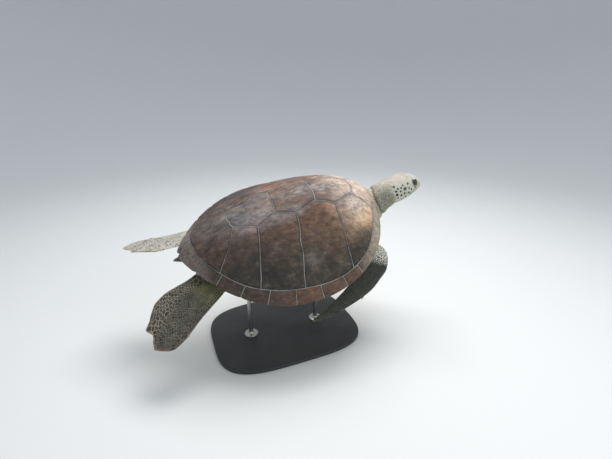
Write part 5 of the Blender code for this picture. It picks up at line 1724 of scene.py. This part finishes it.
# ================================================================ beak
def sheath(name, p, normal, mask, material, tint, out=0.85, back=1.2):
    """A closed horn sheet over the part of a ring grid where mask (mm from its edge) is positive."""
    # the grid's closing point becomes one more row
    tip = p[-1].mean(0)
    p = np.concatenate([p, np.repeat(tip[None, None], p.shape[1], 1)])
    nt = unit(normal[-1].mean(0))
    normal = np.concatenate([normal, np.repeat(nt[None, None], p.shape[1], 1)])
    mask = np.concatenate([mask, np.full((1, p.shape[1]), mask[-1].mean())])
    tint = np.concatenate([tint, tint[-1:]])
    rows, around = mask.shape
    inside = mask > 0
    target, best = p.copy(), np.full(mask.shape, -1.0)
    for axis, shift in ((0, 1), (0, -1), (1, 1), (1, -1)):
        m2, p2 = np.roll(mask, shift, axis), np.roll(p, shift, axis)
        ok = ~inside & (m2 > 0)
        if axis == 0:
            ok[0 if shift == 1 else -1] = False
        w = np.where(ok, m2 / (m2 - mask + 1e-12), -1)
        better = w > best
        target = np.where(better[..., None], p2 + (p - p2) * w[..., None], target)
        best = np.where(better, w, best)
    keep = inside | (best > 0)
    p = target
    index = np.arange(rows * around).reshape(rows, around)
    index[-1] = index[-1, 0]
    right = np.roll(index, -1, 1)
    corners = np.stack([index[:-1], right[:-1], right[1:], index[1:]], -1).reshape(-1, 4)
    kept, within = keep.ravel()[corners], inside.ravel()[corners].any(1)
    faces = []
    for quad, good, use in zip(corners.tolist(), kept.tolist(), within.tolist()):
        if not use:
            continue
        face = []
        for v, g in zip(quad, good):
            if g and v not in face:
                face.append(v)
        if len(face) >= 3:
            faces.append(face)
    used = sorted({v for f in faces for v in f})
    number = {v: k for k, v in enumerate(used)}
    pts, nor = p.reshape(-1, 3)[used], normal.reshape(-1, 3)[used]
    depth = np.maximum(mask.ravel()[used], 0)
    lift = 0.25 + (out - 0.25) * step(0.0, 2.2, depth)
    outer, inner = pts + nor * (lift * MM)[:, None], pts - nor * (back * MM)
    n = len(used)
    faces = [[number[v] for v in f] for f in faces]
    # the grid's quads turn one way throughout: see which
    turn = 0.0
    for f in faces[:: max(len(faces) // 200, 1)]:
        a, b_, c = outer[f[0]], outer[f[1]], outer[f[2]]
        turn += float(np.cross(b_ - a, c - a) @ nor[f[0]])
    if turn < 0:
        faces = [f[::-1] for f in faces]
    seen = {}
    for f in faces:
        for i, u in enumerate(f):
            seen[(u, f[(i + 1) % len(f)])] = 1
    walls = [[u, u + n, v + n, v][::-1] for u, v in seen if (v, u) not in seen]
    every = faces + [[v + n for v in f[::-1]] for f in faces] + walls
    both = np.concatenate([outer, inner])
    mesh = bpy.data.meshes.new(name)
    mesh.from_pydata(to_world(both).tolist(), [], every)
    tone = tint.reshape(-1, 3)[used]
    data = np.c_[np.clip(np.concatenate([tone, tone]), 0, 1), np.ones(2 * n)]
    mesh.attributes.new("tint", "FLOAT_COLOR", "POINT").data.foreach_set("color", data.astype(np.float32).ravel())
    mesh.shade_smooth()
    bm = bmesh.new()
    bm.from_mesh(mesh)
    bmesh.ops.recalc_face_normals(bm, faces=bm.faces)
    bm.to_mesh(mesh)
    bm.free()
    obj = bpy.data.objects.new(name, mesh)
    bpy.context.scene.collection.objects.link(obj)
    mesh.materials.append(material)
    return obj


def beak():
    p, local, normal = HEAD_SKIN
    x, y, z = local[..., 0], local[..., 1], local[..., 2]
    ahead = x > 0.02
    mz = mouth_z(x)
    upper = (0.53 * (x - 0.091) - 0.85 * (z - 0.006)) / 1.0017
    upper = np.minimum(upper, -0.0080 - z + 0.10 * np.abs(y))
    upper = np.minimum(upper, z - mz - 0.25 * HM)
    upper = np.where(ahead, upper / HM, -9.0)
    lower = np.minimum(0.971 * (x - 0.052) + 0.24 * (z + 0.045), mz - 0.30 * HM - z)
    lower = np.where(ahead, lower / HM, -9.0)
    start = int(np.argmax(ahead.any(1)))
    p, normal = p[start:], normal[start:]
    upper, lower = upper[start:], lower[start:]
    where = p.reshape(-1, 3)
    # fine upright ridges of the horn
    grain = noise(np.c_[x[start:].ravel() * 9, y[start:].ravel() * 9, z[start:].ravel()], 0.030, 301).reshape(upper.shape)
    cloud = noise(where, 0.012, 302).reshape(upper.shape)
    tone = mix(lin(214, 204, 178)[None, None], lin(170, 148, 116)[None, None], np.clip(0.40 + 0.55 * grain + 0.3 * cloud, 0, 1))
    edge_up = step(7.0, 1.0, (z[start:] - mz[start:]) / HM)
    upper_tone = mix(tone, lin(148, 124, 92)[None, None], 0.50 * edge_up)
    lower_tone = mix(tone, lin(222, 212, 180)[None, None], np.full(upper.shape, 0.35))
    mat, n, shader = nodes_of("beak_horn")
    place = n.place()
    streak = n.noise(n.vector("MULTIPLY", place, (3.0, 3.0, 0.6)), 260.0, 4, 0.6)
    cloudy = n.noise(place, 90.0, 4, 0.6)
    tint = n.attribute("tint", "Color")
    colour = n.mix(n.ramp(streak, 0.35, 0.62, 0.30, 0.0), tint, n.mix(1.0, tint, (0.66, 0.58, 0.46), "MULTIPLY"))
    colour = n.mix(n.ramp(cloudy, 0.42, 0.62, 0.0, 0.25), colour, n.mix(1.0, colour, (0.72, 0.66, 0.56), "MULTIPLY"))
    n.put(shader.inputs["Base Color"], colour)
    n.put(shader.inputs["Roughness"], n.ramp(cloudy, 0.3, 0.7, 0.32, 0.48))
    n.put(shader.inputs["Normal"], n.bump(streak, 0.30, 0.0005))
    ripple = normal * (0.16 * grain * MM)[..., None]
    for name, mask, tone, node in (("beak_upper_horn", upper, upper_tone, "beak_upper"), ("beak_lower_horn", lower, lower_tone, "beak_lower")):
        obj = sheath(name, p + ripple, normal, mask, mat, tone)
        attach(obj, "root")
        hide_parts(node)


beak()


# ================================================================ eyes
def eyes():
    mat, n, shader = nodes_of("eye", 0.05)
    place = n.place()
    fleck = n.noise(place, 700.0, 4, 0.6)
    tint = n.attribute("tint", "Color")
    n.put(shader.inputs["Base Color"], n.mix(n.ramp(fleck, 0.35, 0.65, 0.45, 0.0), tint, n.mix(1.0, tint, (0.45, 0.42, 0.40), "MULTIPLY")))
    n.put(shader.inputs["Roughness"], n.ramp(fleck, 0.3, 0.7, 0.05, 0.09))
    n.put(shader.inputs["Normal"], n.bump(fleck, 0.03, 0.0002))
    shader.inputs["Coat Weight"].default_value = 0.6
    shader.inputs["Coat Roughness"].default_value = 0.03
    for side, word in ((1, "left"), (-1, "right")):
        at, w, ahead, up = eye_frame(side)
        psi = np.r_[0.02, np.linspace(0.05, math.pi * 0.62, 70), np.linspace(math.pi * 0.66, math.pi - 0.05, 16)]
        phi = np.linspace(0, 2 * math.pi, 96, endpoint=False)
        bulge = 0.55 * HM * step(math.radians(44), math.radians(20), psi)
        radius = EYE_R - 0.1 * HM + bulge
        ring = np.cos(phi)[None, :, None] * ahead + np.sin(phi)[None, :, None] * up
        q = at + radius[:, None, None] * (np.cos(psi)[:, None, None] * w + np.sin(psi)[:, None, None] * ring)
        deg = np.degrees(psi)[:, None] + 0 * phi[None]
        spoke = noise(np.stack([np.cos(phi), np.sin(phi), phi * 0], -1) * 0.09, 0.010, 401)[None] + 0 * deg
        iris = mix(lin(58, 44, 28)[None, None], lin(30, 26, 20)[None, None], 0.5 + 0.5 * spoke)
        tone = mix(lin(5, 6, 7)[None, None], iris, step(14.5, 16.5, deg))
        tone = mix(tone, lin(16, 20, 20)[None, None], step(31, 36, deg))
        b = Build()
        b.grid(moved(HEAD, q.reshape(-1, 3)).reshape(q.shape), (0.01, 0.01, 0.98, 0.98), {"tint": tone}, start="fan", end="fan")
        obj = b.object("eyeball_" + word, mat)
        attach(obj, "root")
        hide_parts("eye_" + word)


eyes()


# ================================================================ claws
def claws():
    mat, n, shader = nodes_of("claw_horn", 0.4)
    place = n.place()
    streak = n.noise(place, 420.0, 4, 0.6)
    tint = n.attribute("tint", "Color")
    n.put(shader.inputs["Base Color"], n.mix(n.ramp(streak, 0.35, 0.62, 0.4, 0.0), tint, n.mix(1.0, tint, (0.6, 0.54, 0.44), "MULTIPLY")))
    n.put(shader.inputs["Roughness"], n.ramp(streak, 0.3, 0.7, 0.32, 0.5))
    n.put(shader.inputs["Normal"], n.bump(streak, 0.25, 0.0004))

    def claw(name, node, at, aim, bend, length, radius, wide):
        aim = unit(np.asarray(aim, float))
        s = np.linspace(0, 1, 30)
        phi = np.linspace(0, 2 * math.pi, 32, endpoint=False)
        path = at + aim * (s * length)[:, None] + bend * (length * 0.30 * s**2)[:, None]
        along = unit(np.gradient(path, axis=0))
        side_way = unit(np.cross(along, wide))
        third = np.cross(side_way, along)
        r = radius * np.maximum(1 - s**1.6, 0.0) ** 0.85 + 0.10 * MM
        ring = np.cos(phi)[None, :, None] * side_way[:, None] * 0.82 + np.sin(phi)[None, :, None] * third[:, None]
        q = path[:, None] + ring * r[:, None, None]
        tone = mix(lin(148, 128, 96)[None, None], lin(206, 190, 152)[None, None], (s[:, None] + 0 * phi[None]))
        b = Build()
        b.grid(q, (0.01, 0.01, 0.98, 0.98), {"tint": tone}, start="fan", end="fan")
        obj = b.object(name, mat)
        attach(obj, "root")
        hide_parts(node)

    for side, word in ((1, "left"), (-1, "right")):
        flip = np.array([1, side, 1])
        at = on_blade(0.215, -0.070) * flip
        aim = unit((SPAN_DIR - TO_TRAIL * 0.9) * flip)
        bend = unit(SPAN_DIR * flip - aim * ((SPAN_DIR * flip) @ aim))
        claw("claw_of_front_" + word, "claw_front_" + word, at, aim, bend, 0.0215, 0.0062, bend)
        fn = paddle(side)
        r = 1 - (1 - np.array([15, 16]) / 23) ** 1.35
        q = fn(r, np.array([[0.0, math.pi]] * 2)) * flip
        out = unit(q[0, 0] - q[0, 1])
        back = unit(q[1, 0] - q[0, 0])
        aim = unit(out + back * 1.2)
        bend = unit(back - aim * (back @ aim))
        claw("claw_of_hind_" + word, "claw_hind_" + word, q[0, 0] - out * 0.006, aim, bend, 0.0195, 0.0050, bend)


claws()


# ================================================================ display stand
def stand():
    paint, n, shader = nodes_of("stand_base_paint", 0.45)
    place = n.place()
    grit = n.noise(place, 900.0, 3, 0.6)
    cloud = n.noise(place, 14.0, 4, 0.6)
    dark = tuple(lin(48, 50, 53))
    n.put(shader.inputs["Base Color"], n.mix(n.ramp(cloud, 0.3, 0.7, 0.0, 0.35), dark, tuple(lin(40, 42, 44))))
    n.put(shader.inputs["Roughness"], n.ramp(cloud, 0.3, 0.7, 0.40, 0.52))
    n.put(shader.inputs["Normal"], n.bump(grit, 0.16, 0.0003))
    steel, n, shader = nodes_of("stand_rod_steel", 0.28)
    place = n.place()
    brush = n.noise(n.vector("MULTIPLY", place, (1.0, 1.0, 0.04)), 1500.0, 3, 0.6)
    n.put(shader.inputs["Base Color"], n.mix(n.ramp(brush, 0.3, 0.7, 0.0, 0.4), tuple(lin(190, 190, 188)), tuple(lin(168, 168, 166))))
    shader.inputs["Metallic"].default_value = 1.0
    n.put(shader.inputs["Roughness"], n.ramp(brush, 0.3, 0.7, 0.24, 0.36))
    n.put(shader.inputs["Normal"], n.bump(brush, 0.06, 0.0002))

    a = np.linspace(0, 2 * math.pi, 320, endpoint=False)
    c, s = np.cos(a), np.sin(a)
    oval = np.stack([np.sign(c) * np.abs(c) ** 0.55 * 0.28, np.sign(s) * np.abs(s) ** 0.55 * 0.21], -1)
    thick, rings = 0.012, []
    for inset, z in ((0.10, 0.0), (0.0015, 0.0), (0.0, 0.0015), (0.0, 0.0055), (0.0, 0.0085)):
        rings.append(np.c_[oval * (1 - inset / 0.24), np.full(320, z)])
    for k in range(1, 9):
        t = k / 8 * math.pi / 2
        inset = 0.0035 * (1 - math.cos(t))
        rings.append(np.c_[oval * (1 - inset / 0.24), np.full(320, thick - 0.0035 + 0.0035 * math.sin(t))])
    for inset in (0.008, 0.05, 0.12, 0.19):
        rings.append(np.c_[oval * (1 - inset / 0.24), np.full(320, thick)])
    b = Build()
    b.grid(np.array(rings), (0.01, 0.01, 0.98, 0.98), {}, start="fan", end="fan")
    base = b.object("stand_base_plate", paint, world=False)
    base.data.set_sharp_from_angle(angle=math.radians(50))
    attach(base, "root")
    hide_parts("stand_base")

    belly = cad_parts["plastron"]
    verts = [belly.matrix_world @ v.co for v in belly.data.vertices]
    tree = BVHTree.FromPolygons(verts, [tuple(f.vertices) for f in belly.data.polygons])
    a = np.linspace(0, 2 * math.pi, 72, endpoint=False)
    circle = np.stack([np.cos(a), np.sin(a)], -1)
    for word, x in (("front", 0.135), ("rear", -0.135)):
        hit, normal, _, _ = tree.ray_cast(Vector((x, 0, 0.02)), Vector((0, 0, 1)))
        up = normal if normal.z > 0 else -normal
        flange = [(0.0242, 0.0), (0.0258, 0.0004), (0.026, 0.0012), (0.026, 0.0034), (0.0257, 0.0044), (0.0250, 0.0051),
                  (0.0238, 0.0056), (0.0180, 0.0061), (0.0140, 0.0067), (0.0118, 0.0077), (0.0103, 0.0092), (0.0092, 0.0112),
                  (0.0084, 0.0132), (0.0080, 0.0155), (0.0080, 0.0300)]  # fmt: skip
        rings = [np.c_[circle[:, 0] * r + x, circle[:, 1] * r, np.full(72, 0.0123 + z)] for r, z in flange]
        cut = hit - up * 0.0035
        top = np.c_[circle[:, 0] * 0.008 + x, circle[:, 1] * 0.008]
        z = cut.z - ((top[:, 0] - cut.x) * up.x + (top[:, 1] - cut.y) * up.y) / up.z
        rings.append(np.c_[top, z])
        b = Build()
        b.grid(np.array(rings), (0.01, 0.01, 0.98, 0.98), {}, start="fan", end="fan")
        rod = b.object(f"stand_rod_of_{word}", steel, world=False)
        rod.data.set_sharp_from_angle(angle=math.radians(40))
        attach(rod, "root")
        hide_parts("stand_rod_" + word)
        turn = Vector((0, 0, 1)).rotation_difference(up).to_matrix()
        rings = []
        for r, z in ((0.004, -0.006), (0.022, -0.006), (0.0268, -0.0058), (0.0284, -0.0052), (0.0294, -0.0042), (0.0299, -0.0030), (0.030, -0.0015)):
            rings.append([hit + turn @ Vector((r * math.cos(t), r * math.sin(t), z)) for t in a])
        rim_up = []
        for t in a:
            foot = hit + turn @ Vector((0.030 * math.cos(t), 0.030 * math.sin(t), -0.004))
            found = tree.ray_cast(foot, up)
            rim_up.append(foot + up * ((found[3] if found[0] else 0.004) + 0.0006))
        rings.append(rim_up)
        rings.append([hit + (q - hit) * 0.5 + up * 0.001 for q in rim_up])
        b = Build()
        b.grid(np.array([[list(q) for q in ring] for ring in rings]), (0.01, 0.01, 0.98, 0.98), {}, start="fan", end="fan")
        pad = b.object(f"stand_pad_of_{word}", steel, world=False)
        pad.data.set_sharp_from_angle(angle=math.radians(50))
        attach(pad, "root")
        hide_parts("stand_pad_" + word)


stand()


# ================================================================ studio and camera
def studio():
    n_r, n_a = 40, 96
    prof = []
    for k in range(n_r):
        t = k / (n_r - 1)
        if t < 0.35:
            prof.append((0.02 + t / 0.35 * 3.2, 0.0))
        else:
            a = (t - 0.35) / 0.65 * math.pi / 2
            prof.append((3.2 + 3.4 * math.sin(a), 3.6 * (1 - math.cos(a))))
    rings = []
    for rad, z in prof:
        a = np.linspace(0, 2 * math.pi, n_a, endpoint=False)
        rings.append(np.stack([rad * np.cos(a), rad * np.sin(a), np.full(n_a, z - 0.0004)], -1))
    b = Build()
    b.grid(np.array(rings), (0, 0, 1, 1), {}, start="fan", flip=False)
    mat, n, shader = nodes_of("studio_floor", 0.75)
    n.put(shader.inputs["Base Color"], tuple(lin(226, 228, 229)))
    floor = b.object("studio_floor", mat, world=False)

    world = bpy.data.worlds.new("studio")
    world.use_nodes = True
    world.node_tree.nodes["Background"].inputs[0].default_value = (0.86, 0.93, 1.0, 1)
    world.node_tree.nodes["Background"].inputs[1].default_value = 0.50
    bpy.context.scene.world = world

    def area(name, at, size, power, colour, target=(0.05, 0, 0.4)):
        light = bpy.data.lights.new(name, "AREA")
        light.shape = "RECTANGLE"
        light.size, light.size_y = size
        light.energy = power
        light.color = colour
        obj = bpy.data.objects.new(name, light)
        obj.location = at
        obj.rotation_euler = (Vector(target) - Vector(at)).to_track_quat("-Z", "Y").to_euler()
        bpy.context.scene.collection.objects.link(obj)

    area("key_overhead", (0.5, 0.5, 2.9), (1.8, 1.4), 72, (1.0, 0.98, 0.95))
    area("front_fill", (1.1, -2.3, 1.9), (1.8, 1.4), 20, (1.0, 0.97, 0.94))

    cam = bpy.data.objects.new("camera", bpy.data.cameras.new("camera"))
    right = Vector((0.92315233, -0.38443437, 0.0))
    down = Vector((-0.14408065, -0.34598363, -0.9271117))
    ahead = Vector((0.35641345, 0.85586538, -0.37478514))
    m = Matrix((right, -down, -ahead)).transposed().to_4x4()
    m.translation = Vector((-0.37668933, -1.13187692, 0.90858255))
    cam.matrix_world = m
    cam.data.lens, cam.data.sensor_width = 21.0395, 36.0
    cam.data.clip_start, cam.data.clip_end = 0.02, 60
    bpy.context.scene.collection.objects.link(cam)
    bpy.context.scene.camera = cam
    bpy.context.scene.view_settings.view_transform = "Standard"


studio()
